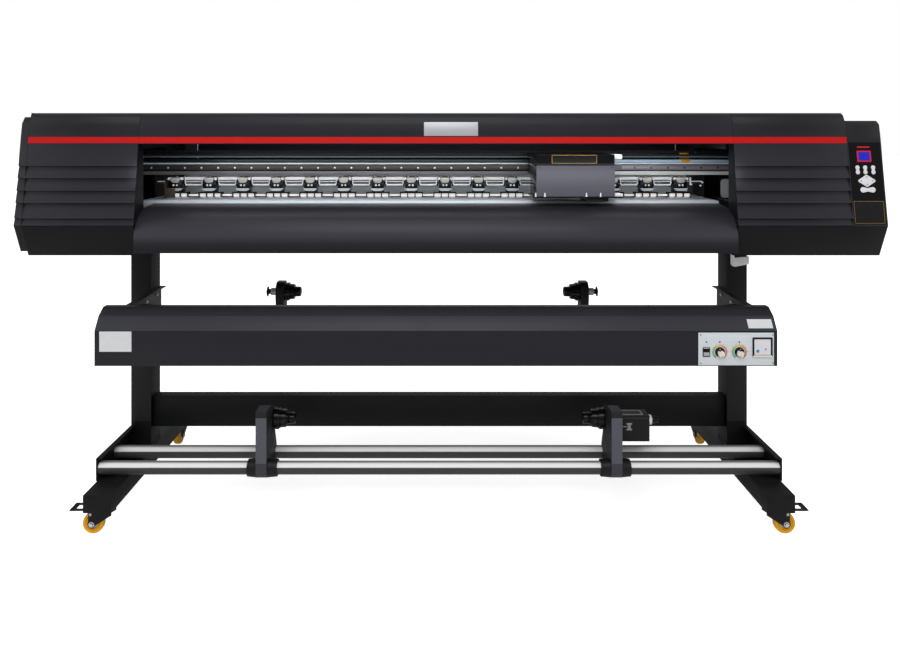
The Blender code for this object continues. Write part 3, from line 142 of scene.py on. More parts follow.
class PrinterSizes(bpy.types.PropertyGroup):
    """Sizes of the finishing details."""

    edge: length_setting("Sheet edge", "Rounding of sheet metal edges", 0.0010)
    tube_edge: length_setting("Tube edge", "Rounding of square tube edges", 0.0040)
    brow: length_setting("Brow", "Rounding of the body's upper front edges", 0.0120)
    stripe: length_setting("Stripe height", "Height of the red band", 0.0180)
    rail_screws: length_setting("Rail screws", "Distance between the linear rail's screws", 0.0543)
    wheel_groove: length_setting(
        "Wheel groove", "Depth of the grooves beside a caster's tread", 0.0015
    )


class StudioSettings(bpy.types.PropertyGroup):
    """Lamps, floor and camera."""

    key_power: power_setting("Key light", "Power of the large front lamp", 80)
    opening_power: power_setting("Opening light", "Power of the slim lamp over the platen", 1.5)
    side_power: power_setting("Side light", "Power of each side lamp", 16)
    world: power_setting("Surroundings", "Strength of the room's light", 0.30, "FACTOR")
    lens: bpy.props.FloatProperty(
        name="Lens", description="Focal length of the camera", default=30, min=1,
        subtype="DISTANCE_CAMERA"
    )
    distance: length_setting("Distance", "From the camera to the posts", 2.478, 0.1, 10)
    height: length_setting("Height", "Camera above the floor", 1.153, 0.01, 10)


# ---------------------------------------------------------------- finishes

# Added before a remainder is taken, so that it never meets a value below zero
PAST_ZERO = 5.0
DIAL_SWEEP = 290


class Term:
    """A value in a finish's nodes, worked on with ordinary arithmetic."""

    def __init__(self, finish, socket):
        self.finish = finish
        self.socket = socket

    def work(self, operation, other, first=True):
        """One arithmetic step with another value, before it or after it."""
        ends = (self, other) if first else (other, self)
        return self.finish.node("ShaderNodeMath", {"operation": operation}, dict(enumerate(ends)))

    def __add__(self, other):
        return self.work("ADD", other)

    def __sub__(self, other):
        return self.work("SUBTRACT", other)

    def __rsub__(self, other):
        return self.work("SUBTRACT", other, False)

    def __mul__(self, other):
        return self.work("MULTIPLY", other)

    def __truediv__(self, other):
        return self.work("DIVIDE", other)

    def __pow__(self, other):
        return self.work("POWER", other)

    def __gt__(self, other):
        return self.work("GREATER_THAN", other)

    def __lt__(self, other):
        return self.work("LESS_THAN", other)

    def __mod__(self, other):
        return self.work("MODULO", other)

    __radd__ = __add__
    __rmul__ = __mul__

    def clamped(self):
        """The value kept between 0 and 1."""
        return self.finish.node("ShaderNodeClamp", values={"Value": self})


class Finish:
    """One material, with one method that makes every node in it."""

    def __init__(self, name, colour, roughness, metallic=0.0, coat=0.0, shine=0.25):
        self.material = bpy.data.materials.new(name)
        self.material.use_nodes = True
        self.tree = self.material.node_tree
        self.shader = self.tree.nodes["Principled BSDF"]
        self.feed("Base Color", (*colour, 1))
        self.feed("Roughness", roughness)
        self.feed("Metallic", metallic)
        self.feed("Coat Weight", coat)
        self.feed("Specular IOR Level", shine)

    def join(self, value, socket):
        """Links a term to a socket, or sets the socket's own value."""
        if isinstance(value, Term):
            self.tree.links.new(value.socket, socket)
        else:
            socket.default_value = value

    def feed(self, name, value):
        """Gives the shader one of its values."""
        self.join(value, self.shader.inputs[name])

    def node(self, kind, settings=None, values=None, output=0):
        """Makes a node, gives it its settings and values, and hands back one output."""
        made = self.tree.nodes.new(kind)
        for name, value in (settings or {}).items():
            if name == "stops":
                while len(made.color_ramp.elements) < len(value):
                    made.color_ramp.elements.new(0.5)
                for element, (position, colour) in zip(made.color_ramp.elements, value):
                    element.position = position
                    element.color = (*colour, 1)
            else:
                setattr(made, name, value)
        for name, value in (values or {}).items():
            self.join(value, made.inputs[name])
        return Term(self, made.outputs[output])

    def place(self, scale=(1, 1, 1), move=(0, 0, 0)):
        """Point on the piece, scaled and moved."""
        spot = self.node("ShaderNodeTexCoord", output="Object")
        return self.node(
            "ShaderNodeMapping", values={"Vector": spot, "Scale": scale, "Location": move}
        )

    def axes(self, move=(0, 0, 0)):
        """The x, y and z of a point on the piece, after a move."""
        place = self.place(move=move)
        return [
            self.node("ShaderNodeSeparateXYZ", values={"Vector": place}, output=axis)
            for axis in "XYZ"
        ]

    def noise(self, scale, detail=2.0, stretch=(1, 1, 1)):
        """Soft irregular pattern between 0 and 1."""
        values = {"Vector": self.place(stretch), "Scale": scale, "Detail": detail}
        return self.node("ShaderNodeTexNoise", values=values, output="Fac")

    def mix(self, amount, low, high):
        """Colour between two colours."""
        made = self.tree.nodes.new("ShaderNodeMix")
        made.data_type = "RGBA"
        sockets = {socket.identifier: socket for socket in made.inputs}
        self.join(amount, sockets["Factor_Float"])
        for name, value in (("A_Color", low), ("B_Color", high)):
            self.join(value if isinstance(value, Term) else (*value[:3], 1), sockets[name])
        return Term(self, next(s for s in made.outputs if s.identifier == "Result_Color"))

    def ramp(self, stops, share):
        """Colour along (position, colour) stops."""
        return self.node("ShaderNodeValToRGB", {"stops": stops}, {"Fac": share}, "Color")

    def size_of(self, value):
        """A value without its sign."""
        return value.work("ABSOLUTE", 0)

    def bump(self, height, strength, distance):
        """Fine relief from a height pattern."""
        values = {"Height": height, "Strength": strength, "Distance": distance}
        self.feed("Normal", self.node("ShaderNodeBump", values=values, output="Normal"))


def shade(colour, factor):
    """A darker or lighter step of a colour."""
    return tuple(min(1.0, channel * factor) for channel in colour)


def normal_part(finish, letter):
    """One direction of the surface: 1 where it faces that way, -1 where it faces away."""
    facing = finish.node("ShaderNodeNewGeometry", output="Normal")
    return finish.node("ShaderNodeSeparateXYZ", values={"Vector": facing}, output=letter)


def height_ramp(finish, z, steps):
    """Share that follows the height, from (height, share) steps."""
    low, high = steps[0][0], steps[-1][0]
    stops = [((height - low) / (high - low), (share, share, share)) for height, share in steps]
    return finish.ramp(stops, (z - low) / (high - low))


def louvre_painted_shade(finish, tint, colour):
    """Painted shade under each louvre's lip, over the front's inward-leaning foot and towards the
    brow.
    """
    _, y, z = finish.axes()
    # Painted shade: dark just under each lip, dark over the foot and darker towards the brow; none
    # behind the front
    steps = [(0.86, 0.0), (0.8795, 0.0), (0.8815, 0.80)]
    for lip in LIPS:
        steps += [
            (lip - 0.0165, 0.86), (lip - 0.0034, 0.26), (lip - 0.0004, 0.16), (lip + 0.0004, 0.98)
        ]
    steps += [(1.105, 0.76), (1.138, 0.52), (1.16, 0.42)]
    behind = y > -0.20
    return finish.mix(
        (height_ramp(finish, z, sorted(steps)) + behind).clamped(), shade(colour, 0.12), tint
    )


def facet_shade(finish, tint, colour):
    """Painted light and shade: the dryer's leaning facet is painted lighter than its face and its
    top.
    """
    _, _, z = finish.axes()
    steps = [
        (0.56, 0.10), (0.5795, 0.10), (0.5805, 0.62), (0.6155, 0.66), (0.6165, 0.26),
        (0.6285, 0.24), (0.6340, 0.0), (0.66, 0.0)
    ]
    share = height_ramp(finish, z, steps)
    lit = finish.mix(finish.noise(4.5, 4) * 0.2, shade(colour, 2.3), tint)
    return finish.mix(share, finish.mix(0.45, tint, shade(colour, 0.4)), lit)


def seam_shade(finish, tint, colour):
    """A cover's louvres with their painted shade, and painted shade on its inner side wall beside
    the opening.
    """
    x, _, _ = finish.axes((-MID, 0, 0))
    tint = louvre_painted_shade(finish, tint, colour)
    middle, reach = -0.009, 0.8695
    # Painted shade on the side walls that face across the opening
    wall = (finish.size_of(normal_part(finish, "X")) > 0.9) * (finish.size_of(x - middle) < reach)
    return finish.mix(wall, tint, shade(colour, 0.22))


def leg_shade(finish, tint, colour):
    """A leg's front face painted lighter above its foot, with painted shade on its foot and deeper
    painted shade on its sides.
    """
    _, _, z = finish.axes()
    front = finish.mix(z > 0.21, shade(colour, 0.5), finish.mix(0.5, tint, shade(colour, 2.0)))
    return finish.mix(finish.size_of(normal_part(finish, "X")) > 0.9, front, shade(colour, 0.24))


def apron_shade(finish, tint, colour):
    """The apron's curl with painted light and shade: dark near the platen, lit at its belly and
    dark below.
    """
    _, _, z = finish.axes()
    steps = [
        (0.80, 0.05), (0.812, 0.09), (0.829, 0.36), (0.848, 0.98), (0.856, 1.0), (0.879, 0.60),
        (0.904, 0.30), (0.928, 0.03), (0.94, 0.0)
    ]
    lit = finish.mix(0.5, tint, shade(colour, 1.5))
    return finish.mix(height_ramp(finish, z, steps), shade(colour, 0.25), lit)


def powder_coat(name, colour, roughness=0.42, grain=0.12, dust=0.10, wear_and_painted_light=None):
    """Baked powder paint: fine orange peel, faint clouding, dust on what faces up, and any painted
    light and shade that is given.
    """
    finish = Finish(name, colour, roughness, shine=0.18)
    fine = finish.noise(1100, 2)
    peel = finish.noise(330, 1)
    cloud = finish.noise(4.5, 4)
    scuffs = finish.noise(26, 6, (0.4, 1, 1)) > 0.66
    tint = finish.mix(cloud, shade(colour, 0.90), shade(colour, 1.12))
    # Painted light and shade from the given function, where there is one
    if wear_and_painted_light:
        tint = wear_and_painted_light(finish, tint, colour)
    settled = (normal_part(finish, "Z").clamped() ** 3) * dust * finish.noise(9, 5)
    tint = finish.mix(settled.clamped(), tint, tone(150, 148, 144))
    finish.feed("Base Color", tint)
    finish.feed(
        "Roughness", (roughness - 0.05 + cloud * 0.10 + fine * 0.05 + scuffs * 0.03).clamped()
    )
    finish.bump(peel * 0.7 + fine * 0.5, grain, 0.0002)
    return finish.material


def moulded(name, colour, roughness=0.5, grain=0.10, texture=700):
    """Injection-moulded plastic: an even spark-eroded grain and slightly rubbed patches."""
    finish = Finish(name, colour, roughness)
    grit = finish.noise(texture, 3)
    patch = finish.noise(14, 4)
    finish.feed("Base Color", finish.mix(patch, shade(colour, 0.88), shade(colour, 1.14)))
    finish.feed("Roughness", (roughness - 0.07 + patch * 0.12 + grit * 0.04).clamped())
    finish.bump(grit, grain, 0.00025)
    return finish.material


def brushed(name, colour, roughness=0.28, axis="X", grain=0.10, metallic=1.0):
    """Metal brushed or ground along one axis."""
    finish = Finish(name, colour, roughness, metallic)
    along, across = 2.0, 260.0
    stretch = tuple(along if letter == axis else across for letter in "XYZ")
    lines = finish.noise(3.0, 4, stretch)
    bands = finish.noise(2.5, 2, tuple(0.4 if letter == axis else 6.0 for letter in "XYZ"))
    smudge = finish.noise(11, 5)
    finish.feed("Base Color", finish.mix(lines, shade(colour, 0.86), shade(colour, 1.10)))
    finish.feed(
        "Roughness", (roughness - 0.08 + lines * 0.10 + bands * 0.06 + smudge * 0.05).clamped()
    )
    finish.bump(lines, grain, 0.0001)
    return finish.material


def ground_tube(name):
    """Ground tube across the machine, with a painted highlight over its upper side and painted
    shade below.
    """
    finish = Finish(name, tone(200, 200, 200), 0.46, 0.08, shine=0.35)
    lines = finish.noise(3.0, 3, (1.5, 300.0, 300.0))
    # Painted highlight over the upper side and painted shade below, from the way the surface faces
    stops = [
        (0.0, tone(62, 62, 63)), (0.45, tone(50, 50, 51)), (0.66, tone(56, 56, 57)),
        (0.715, tone(242, 242, 242)), (0.93, tone(246, 246, 246)), (0.99, tone(120, 120, 121))
    ]
    share = normal_part(finish, "Z") * 0.5 + lines * 0.02 + 0.49
    painted_light_and_shade = finish.ramp(stops, share)
    finish.feed("Base Color", finish.mix(lines * 0.10, painted_light_and_shade, tone(150, 150, 152)))
    finish.feed("Roughness", lines * 0.08 + 0.42)
    finish.bump(lines, 0.03, 0.0001)
    return finish.material


def arm_shell(name, colour):
    """Cast take-up arm: grey on its front face, black on its cap, its sides and the collar."""
    finish = Finish(name, colour, 0.52)
    x, _, z = finish.axes((-MID, 0, 0))
    grit = finish.noise(700, 3)
    arm_middle, half_width, cap_foot, collar_top = 0.5195, 0.0162, 0.316, 0.182
    on_arm = finish.size_of(finish.size_of(x) - arm_middle) < half_width
    face = (normal_part(finish, "Y") < -0.5) * on_arm
    cap = finish.mix(z > cap_foot, colour, shade(colour, 0.16))
    foot = finish.mix(z < collar_top, cap, shade(colour, 0.50))
    finish.feed("Base Color", finish.mix(face, shade(colour, 0.10), foot))
    finish.feed("Roughness", grit * 0.10 + 0.46)
    finish.bump(grit, 0.16, 0.00025)
    return finish.material


def two_tone_rocker(name):
    """Rocker switch with a pale lower half, rubbed in patches."""
    finish = Finish(name, tone(24, 24, 26), 0.35)
    _, _, z = finish.axes()
    wear_and_painted_light = finish.noise(300, 3)
    finish.feed(
        "Base Color",
        finish.mix(
            z < 0.5195, tone(20, 20, 22), finish.mix(wear_and_painted_light, tone(150, 150, 152), tone(196, 196, 198))
        )
    )
    finish.feed("Roughness", wear_and_painted_light * 0.12 + 0.28)
    finish.bump(wear_and_painted_light, 0.05, 0.0001)
    return finish.material


def beam_metal(name, painted_dark_tone, bright, metallic=0.25):
    """Drawn metal along the rail, with painted reflection: darker on the idler's side and bright
    near the parking end.
    """
    finish = Finish(name, bright, 0.40, metallic, shine=0.4)
    x, _, _ = finish.axes()
    lines = finish.noise(3.0, 4, (1.2, 240.0, 240.0))
    patches = finish.noise(5.0, 3, (1.0, 0.2, 0.2))
    # Painted reflection: darker towards the left, bright towards the right
    share = ((x - 0.40) * 12.0 + (patches - 0.5) * 0.4).clamped()
    tint = finish.mix(share, painted_dark_tone, bright)
    finish.feed("Base Color", finish.mix(lines * 0.25, tint, shade(painted_dark_tone, 0.7)))
    finish.feed("Roughness", lines * 0.12 + 0.30)
    finish.bump(lines, 0.06, 0.0001)
    return finish.material


def zinc(name, colour=tone(190, 192, 196), metallic=1.0):
    """Plated steel of screws, washers and brackets."""
    finish = Finish(name, colour, 0.32, metallic, shine=0.5)
    mottle = finish.noise(160, 4)
    finish.feed("Base Color", finish.mix(mottle, shade(colour, 0.78), colour))
    finish.feed("Roughness", mottle * 0.22 + 0.22)
    finish.bump(mottle, 0.08, 0.0001)
    return finish.material


def elastomer(name, colour, roughness=0.6, grain=0.2):
    """Rubber or polyurethane, with a fine matt skin and dirt in patches."""
    finish = Finish(name, colour, roughness)
    skin = finish.noise(420, 4)
    dirt = finish.noise(38, 6)
    finish.feed("Base Color", finish.mix(dirt ** 3, colour, shade(colour, 0.55)))
    finish.feed("Roughness", (roughness - 0.06 + skin * 0.08 + dirt * 0.08).clamped())
    finish.bump(skin, grain, 0.0002)
    return finish.material


def painted_glow_wheel(name):
    """Milky wheel with a painted glow that brightens it in the shade of the opening."""
    finish = Finish(name, tone(240, 240, 238), 0.5)
    haze = finish.noise(220, 3)
    finish.feed("Base Color", finish.mix(haze, tone(226, 226, 222), tone(246, 246, 244)))
    finish.feed("Roughness", haze * 0.12 + 0.42)
    # Painted glow: the wheel shines though it is no lamp
    finish.feed("Emission Color", (*tone(196, 196, 195), 1))
    finish.feed("Emission Strength", 0.9)
    finish.bump(haze, 0.08, 0.0002)
    return finish.material


def film(name, colour, roughness=0.25, coat=0.3):
    """Printed or lacquered film: nearly even, with a faint ripple."""
    finish = Finish(name, colour, roughness, coat=coat)
    ripple = finish.noise(60, 3)
    finish.feed("Base Color", finish.mix(ripple, shade(colour, 0.95), shade(colour, 1.05)))
    finish.feed("Roughness", ripple * 0.08 + (roughness - 0.04))
    finish.bump(ripple, 0.05, 0.0002)
    return finish.material


def grit_coat(name):
    """Steel roller sprayed with hard grit in bands, bare between them."""
    finish = Finish(name, tone(150, 150, 150), 0.5, 0.6)
    x, _, _ = finish.axes()
    band = ((x + PAST_ZERO) % PINCH_PITCH) < 0.080
    specks = finish.noise(1900, 4)
    gritty = finish.mix(specks, tone(92, 90, 88), tone(176, 172, 166))
    finish.feed("Base Color", finish.mix(band, tone(188, 190, 192), gritty))
    finish.feed("Roughness", band * 0.45 + 0.25)
    finish.feed("Metallic", 1.0 - band * 0.7)
    finish.bump(specks * band, 0.6, 0.0003)
    return finish.material


def belt_rubber(name):
    """Dark drive belt with fine cross teeth and a paler lower edge."""
    finish = Finish(name, tone(20, 20, 21), 0.6)
    x, _, z = finish.axes()
    tooth = ((x + PAST_ZERO) % 0.002) > 0.001
    body = finish.mix(tooth, tone(10, 14, 24), tone(24, 30, 44))
    finish.feed("Base Color", finish.mix(z > 1.0695, tone(104, 122, 130), body))
    finish.feed("Roughness", finish.noise(300, 3) * 0.15 + 0.5)
    finish.bump(tooth, 0.5, 0.0006)
    return finish.material


def lit_display(name, colour):
    """Backlit display: pale rows on a blue ground, brighter in the middle."""
    finish = Finish(name, shade(colour, 0.3), 0.12, coat=1.0)
    _, _, z = finish.axes()
    row = ((z + PAST_ZERO) % 0.0046) > 0.0031
    glow = finish.mix(row, colour, shade(colour, 1.6))
    finish.feed("Emission Color", finish.mix(finish.noise(90, 2), glow, shade(colour, 0.7)))
    finish.feed("Emission Strength", 0.75)
    finish.feed("Base Color", finish.mix(row, shade(colour, 0.25), shade(colour, 0.5)))
    return finish.material


def dial_scale(name, centre):
    """Ring scale that runs from green over yellow to red round a knob."""
    finish = Finish(name, tone(200, 180, 40), 0.35)
    x, _, z = finish.axes((-centre[0] - MID, 0, -centre[1]))
    share = (x.work("ARCTAN2", z) / math.radians(DIAL_SWEEP) + 0.5).clamped()
    stops = [
        (0.0, tone(30, 150, 70)), (0.28, tone(120, 180, 50)), (0.45, tone(240, 196, 30)),
        (0.68, tone(236, 120, 30)), (1.0, tone(205, 25, 25))
    ]
    finish.feed(
        "Base Color",
        finish.mix(finish.noise(240, 2) * 0.25, finish.ramp(stops, share), tone(250, 250, 250))
    )
    finish.feed("Roughness", finish.noise(300, 2) * 0.1 + 0.3)
    return finish.material


def glass_tube(name):
    """Frosted glass of the heating lamp."""
    finish = Finish(name, tone(214, 205, 196), 0.18, coat=0.6)
    haze = finish.noise(45, 4)
    finish.feed("Base Color", finish.mix(haze, tone(196, 184, 172), tone(232, 228, 222)))
    finish.feed("Roughness", haze * 0.2 + 0.1)
    return finish.material


FINISHES = {}


def mix_finishes(colours):
    """Every finish of the machine, by a maker's name for it."""
    body, stand = tuple(colours.body), tuple(colours.stand)
    plastic, key = tuple(colours.plastic), tuple(colours.key)
    FINISHES.update(
        {
            "body coat": powder_coat("body_coat", body, 0.40),
            "end coat": powder_coat("end_coat", shade(body, 1.6), 0.40, wear_and_painted_light=louvre_painted_shade),
            "cover coat": powder_coat("cover_coat", shade(body, 1.6), 0.40, wear_and_painted_light=seam_shade),
            "dryer coat": powder_coat(
                "dryer_coat", shade(body, 1.20), 0.38, dust=0.03, wear_and_painted_light=facet_shade
            ),
            "apron coat": powder_coat(
                "apron_coat", shade(body, 1.77), 0.36, 0.08, 0.03, apron_shade
            ),
            "stand coat": powder_coat("stand_coat", stand, 0.46, 0.18),
            "leg coat": powder_coat("leg_coat", stand, 0.46, 0.18, 0.02, leg_shade),
            "inner coat": powder_coat("inner_coat", tone(16, 17, 18), 0.55, 0.10, 0.05),
            "black plastic": moulded("black_plastic", plastic, 0.48),
            "gloss plastic": moulded("gloss_plastic", tone(12, 12, 14), 0.20, 0.02),
            "arm plastic": arm_shell("arm_plastic", tuple(colours.arm)),
            "rib plastic": moulded("rib_plastic", tone(60, 60, 66), 0.45, 0.10),
            "rocker": two_tone_rocker("rocker_plastic"),
            "pale metal": zinc("pale_metal", tone(206, 208, 214), 0.25),
            "bolt white": zinc("bolt_white", tone(240, 240, 242), 0.10),
            "sky film": film("sky_film", tone(44, 138, 206), 0.35, 0.1),
            "white plastic": moulded("white_plastic", key, 0.38, 0.05),
            "lever plastic": moulded("lever_plastic", tone(252, 252, 252), 0.40, 0.04),
            "cream plastic": moulded("cream_plastic", tone(236, 231, 216), 0.42, 0.05),
            "stripe film": film("stripe_film", tuple(colours.stripe), 0.42, 0.0),
            "blank film": film("blank_film", tone(220, 222, 224), 0.45, 0.0),
            "black film": film("black_film", tone(14, 14, 16), 0.28, 0.4),
            "orange film": film("orange_film", tone(226, 150, 20), 0.40, 0.1),
            "red film": film("red_film", tone(206, 30, 52), 0.35, 0.2),
            "brown film": film("brown_film", tone(62, 56, 40), 0.5, 0.0),
            "lilac film": film("lilac_film", tone(150, 140, 186), 0.40, 0.1),
            "tube steel": ground_tube("tube_steel"),
            "rail steel": beam_metal("rail_steel", tone(66, 60, 60), tone(150, 146, 158)),
            "beam strip": beam_metal("beam_strip", tone(118, 117, 120), tone(246, 248, 248), 0.05),
            "beam edge": beam_metal("beam_edge", tone(226, 236, 240), tone(236, 240, 240), 0.05),
            "beam face": beam_metal("beam_face", tone(22, 24, 32), tone(176, 204, 230), 0.05),
            "aluminium": brushed("aluminium", tone(206, 208, 212), 0.34),
            "white strip": brushed("white_strip", tone(236, 238, 240), 0.40, metallic=0.1),
            "platen metal": brushed(
                "platen_metal", tone(186, 193, 201), 0.45, grain=0.03, metallic=0.15
            ),
            "carriage metal": brushed(
                "carriage_metal", tuple(colours.carriage), 0.45, grain=0.04, metallic=0.25
            ),
            "control plate": brushed(
                "control_plate", tuple(colours.plate), 0.45, grain=0.03, metallic=0.1
            ),
            "badge metal": brushed("badge_metal", tone(186, 187, 192), 0.42, metallic=0.45),
            "guide grey": moulded("guide_grey", tone(176, 182, 188), 0.5, 0.04),
            "shield grey": moulded("shield_grey", tone(146, 146, 148), 0.5, 0.06),
            "brass": brushed("brass", tone(206, 170, 84), 0.30),
            "dome metal": zinc("dome_metal", tone(186, 184, 178), 0.2), "zinc": zinc("zinc"),
            "dark screw": zinc("dark_screw", tone(56, 56, 60)),
            "wheel": elastomer("wheel_urethane", tuple(colours.wheel), 0.38, 0.06),
            "pinch wheel": painted_glow_wheel("pinch_wheel"),
            "black rubber": elastomer("black_rubber", tone(22, 22, 23), 0.70),
            "grit": grit_coat("grit_bands"), "belt": belt_rubber("belt_rubber"),
            "display": lit_display("lit_display", tuple(colours.display)),
            "lamp": glass_tube("lamp_glass"),
        }
    )


# ---------------------------------------------------------------- making pieces


def joined(bm, other, matrix=None):
    """Adds one finished shape to another."""
    mesh = bpy.data.meshes.new("joined")
    other.to_mesh(mesh)
    other.free()
    if matrix is not None:
        mesh.transform(matrix)
    bm.from_mesh(mesh)
    bpy.data.meshes.remove(mesh)


def rounded(bm, width, segments=2, sharper=25, edges=None):
    """Rounds the edges that are sharper than an angle."""
    if edges is None:
        limit = math.radians(sharper)
        edges = [e for e in bm.edges if len(e.link_faces) == 2 and e.calc_face_angle(0) > limit]
    if edges and width > 0:
        bmesh.ops.bevel(
            bm, geom=edges, offset=width, offset_type="OFFSET", segments=segments, profile=0.5,
            affect="EDGES", clamp_overlap=True, material=-1
        )


def block(low, high, width=0.0, segments=2):
    """Block between two corners, with rounded edges."""
    bm = bmesh.new()
    bmesh.ops.create_cube(bm, size=1)
    low, high = Vector(low), Vector(high)
    bmesh.ops.scale(bm, vec=high - low, verts=bm.verts)
    bmesh.ops.translate(bm, vec=(low + high) / 2, verts=bm.verts)
    rounded(bm, width, segments)
    return bm


def on_level(axis, level, place):
    """Point at a level of one axis and at a (first, second) place across it."""
    first, second = place
    return {
        "X": (level, first, second), "Y": (first, level, second), "Z": (first, second, level)
    }[axis]


def thickened(bm, axis, depth):
    """Gives every face a depth along an axis."""
    grown = bmesh.ops.extrude_face_region(bm, geom=bm.faces[:])
    moved = [v for v in grown["geom"] if isinstance(v, bmesh.types.BMVert)]
    bmesh.ops.translate(bm, vec=on_level(axis, depth, (0, 0)), verts=moved)
    bmesh.ops.recalc_face_normals(bm, faces=bm.faces)


def plate(axis, outline, start, end, width=0.0, segments=2, sharper=25):
    """Flat outline across an axis, given a thickness and rounded edges.

    The outline is (y, z) points across X, (x, z) across Y and (x, y) across Z.
    """
    bm = bmesh.new()
    bm.faces.new([bm.verts.new(on_level(axis, start, place)) for place in outline])
    thickened(bm, axis, end - start)
    rounded(bm, width, segments, sharper)
    return bm


def ring_plate(axis, outer, inner, start, end, width=0.0):
    """Plate with one opening: both outlines have the same number of points."""
    bm = bmesh.new()
    edges = []
    for outline in (outer, inner):
        verts = [bm.verts.new(on_level(axis, start, place)) for place in outline]
        edges += [bm.edges.new(pair) for pair in zip(verts, verts[1:] + verts[:1])]
    bmesh.ops.bridge_loops(bm, edges=edges)
    thickened(bm, axis, end - start)
    rounded(bm, width, 1)
    return bm


def turned(axis, centre, profile, sides=32):
    """Body of revolution from (distance along the axis, radius) points, closed at its poles."""
    bm = bmesh.new()
    verts = [bm.verts.new((radius, 0, along)) for along, radius in profile]
    edges = [bm.edges.new(pair) for pair in zip(verts, verts[1:])]
    if profile[0][1] > 0:
        edges.append(bm.edges.new((verts[-1], verts[0])))
    bmesh.ops.spin(
        bm, geom=verts + edges, cent=(0, 0, 0), axis=(0, 0, 1), angle=2 * math.pi, steps=sides,
        use_merge=True
    )
    bmesh.ops.remove_doubles(bm, verts=bm.verts, dist=0.000001)
    bmesh.ops.transform(bm, matrix=TURNS[axis], verts=bm.verts)
    bmesh.ops.translate(bm, vec=on_level(axis, 0, centre), verts=bm.verts)
    bmesh.ops.recalc_face_normals(bm, faces=bm.faces)
    return bm


def rod(axis, centre, start, end, radius, sides=24, edge=0.0):
    """Round bar with its rims eased."""
    low, high = sorted((start, end))
    if edge:
        profile = [
            (low, 0), (low, radius - edge), (low + edge, radius), (high - edge, radius),
            (high, radius - edge), (high, 0)
        ]
    else:
        profile = [(low, 0), (low, radius), (high, radius), (high, 0)]
    return turned(axis, centre, profile, sides)


def rounded_rectangle(centre, width, height, corner, steps=4):
    """Outline of a rectangle with round corners."""
    points = []
    for turn, (sx, sy) in enumerate(((1, 1), (-1, 1), (-1, -1), (1, -1))):
        cx = centre[0] + sx * (width / 2 - corner)
        cy = centre[1] + sy * (height / 2 - corner)
        for step in range(steps + 1):
            angle = math.radians(90 * turn + 90 * step / steps)
            points.append((cx + corner * math.cos(angle), cy + corner * math.sin(angle)))
    return points


def arc(centre, radius, start, end, steps):
    """Points along an arc between two angles in degrees."""
    angles = [math.radians(start + (end - start) * i / steps) for i in range(steps + 1)]
    return [(centre[0] + radius * math.cos(a), centre[1] + radius * math.sin(a)) for a in angles]


def cap_screw(axis, centre, face, out, radius=0.004, height=0.003):
    """Socket-head screw on a face: head with an eased rim and a round socket."""
    high, seat, socket = face + out * height, face - out * 0.0005, face + out * height * 0.4
    profile = [
        (seat, 0), (seat, radius), (high - out * height * 0.25, radius), (high, radius * 0.85),
        (high, radius * 0.5), (socket, radius * 0.42), (socket, 0)
    ]
    return turned(axis, centre, profile, 12)


def hex_bolt(axis, centre, face, out, radius=0.007, height=0.005):
    """Hexagon head with a washer under it."""
    seat, rim, foot, top = (face + out * level for level in (-0.0005, 0.0012, 0.0008, height))
    washer = [(seat, 0), (seat, radius * 1.25), (rim, radius * 1.25), (rim, 0)]
    head = [
        (foot, 0), (foot, radius), (face + out * height * 0.85, radius), (top, radius * 0.8),
        (top, 0)
    ]
    bm = turned(axis, centre, washer, 20)
    joined(bm, turned(axis, centre, head, 6))
    return bm


def finished(name, bm, finish, body, replaces, smooth):
    """One named object with its finish, on its body."""
    mesh = bpy.data.meshes.new(name)
    bm.to_mesh(mesh)
    bm.free()
    mesh.shade_smooth()
    mesh.set_sharp_from_angle(angle=math.radians(smooth))
    mesh.materials.append(FINISHES[finish])
    piece = bpy.data.objects.new(name, mesh)
    bpy.context.scene.collection.objects.link(piece)
    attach(piece, body)
    if replaces:
        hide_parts(*replaces)


def publish(name, shapes, finish, body, replaces=(), smooth=38, matrix=None):
    """One named piece from its shapes, moved to the machine's place in the frame."""
    bm = bmesh.new()
    for shape in shapes if isinstance(shapes, list) else [shapes]:
        joined(bm, shape, matrix)
    bmesh.ops.translate(bm, vec=(MID, 0, 0), verts=bm.verts)
    finished(name, bm, finish, body, replaces, smooth)


def softened(bm, places, offset, segments):
    """Rounds the long edges that run across the machine through the given (y, z) places."""
    chosen = []
    for edge in bm.edges:
        a, b = (v.co for v in edge.verts)
        if abs(a.y - b.y) + abs(a.z - b.z) > 0.0005 or len(edge.link_faces) != 2:
            continue
        if any(math.hypot(a.y - y, a.z - z) < 0.006 for y, z in places):
            chosen.append(edge)
    rounded(bm, offset, segments, edges=chosen)


def refined(node, finish, width=0.001, segments=2, sharper=25, places=(), offset=0.0, smooth=38):
    """A CAD node's own shape, merged and flattened, with its edges eased, standing for the node."""
    bm = bmesh.new()
    bm.from_mesh(NODES[node].data)
    bmesh.ops.remove_doubles(bm, verts=bm.verts, dist=0.00002)
    bmesh.ops.dissolve_limit(bm, angle_limit=math.radians(0.6), verts=bm.verts, edges=bm.edges)
    if places:
        softened(bm, places, offset, 5)
    rounded(bm, width, segments, sharper)
    finished(f"{node}_finished", bm, finish, BODY_OF[node], [node], smooth)


# ---------------------------------------------------------------- body

# Heights of the louvres' lips, then (y, z) corners of the front's profile
LIPS = (0.901, 0.945, 0.980, 1.016, 1.051)
BROW = ((-0.290, 1.137), (-0.283, 1.182), (-0.268, 1.206))
FACE_FOOT = (-0.328, 0.881)
LEAN = math.atan2(BROW[0][0] - FACE_FOOT[0], BROW[0][1] - FACE_FOOT[1])


def face_y(z):
    """Depth of the leaning front at a height."""
    return FACE_FOOT[0] + (z - FACE_FOOT[1]) * math.tan(LEAN)


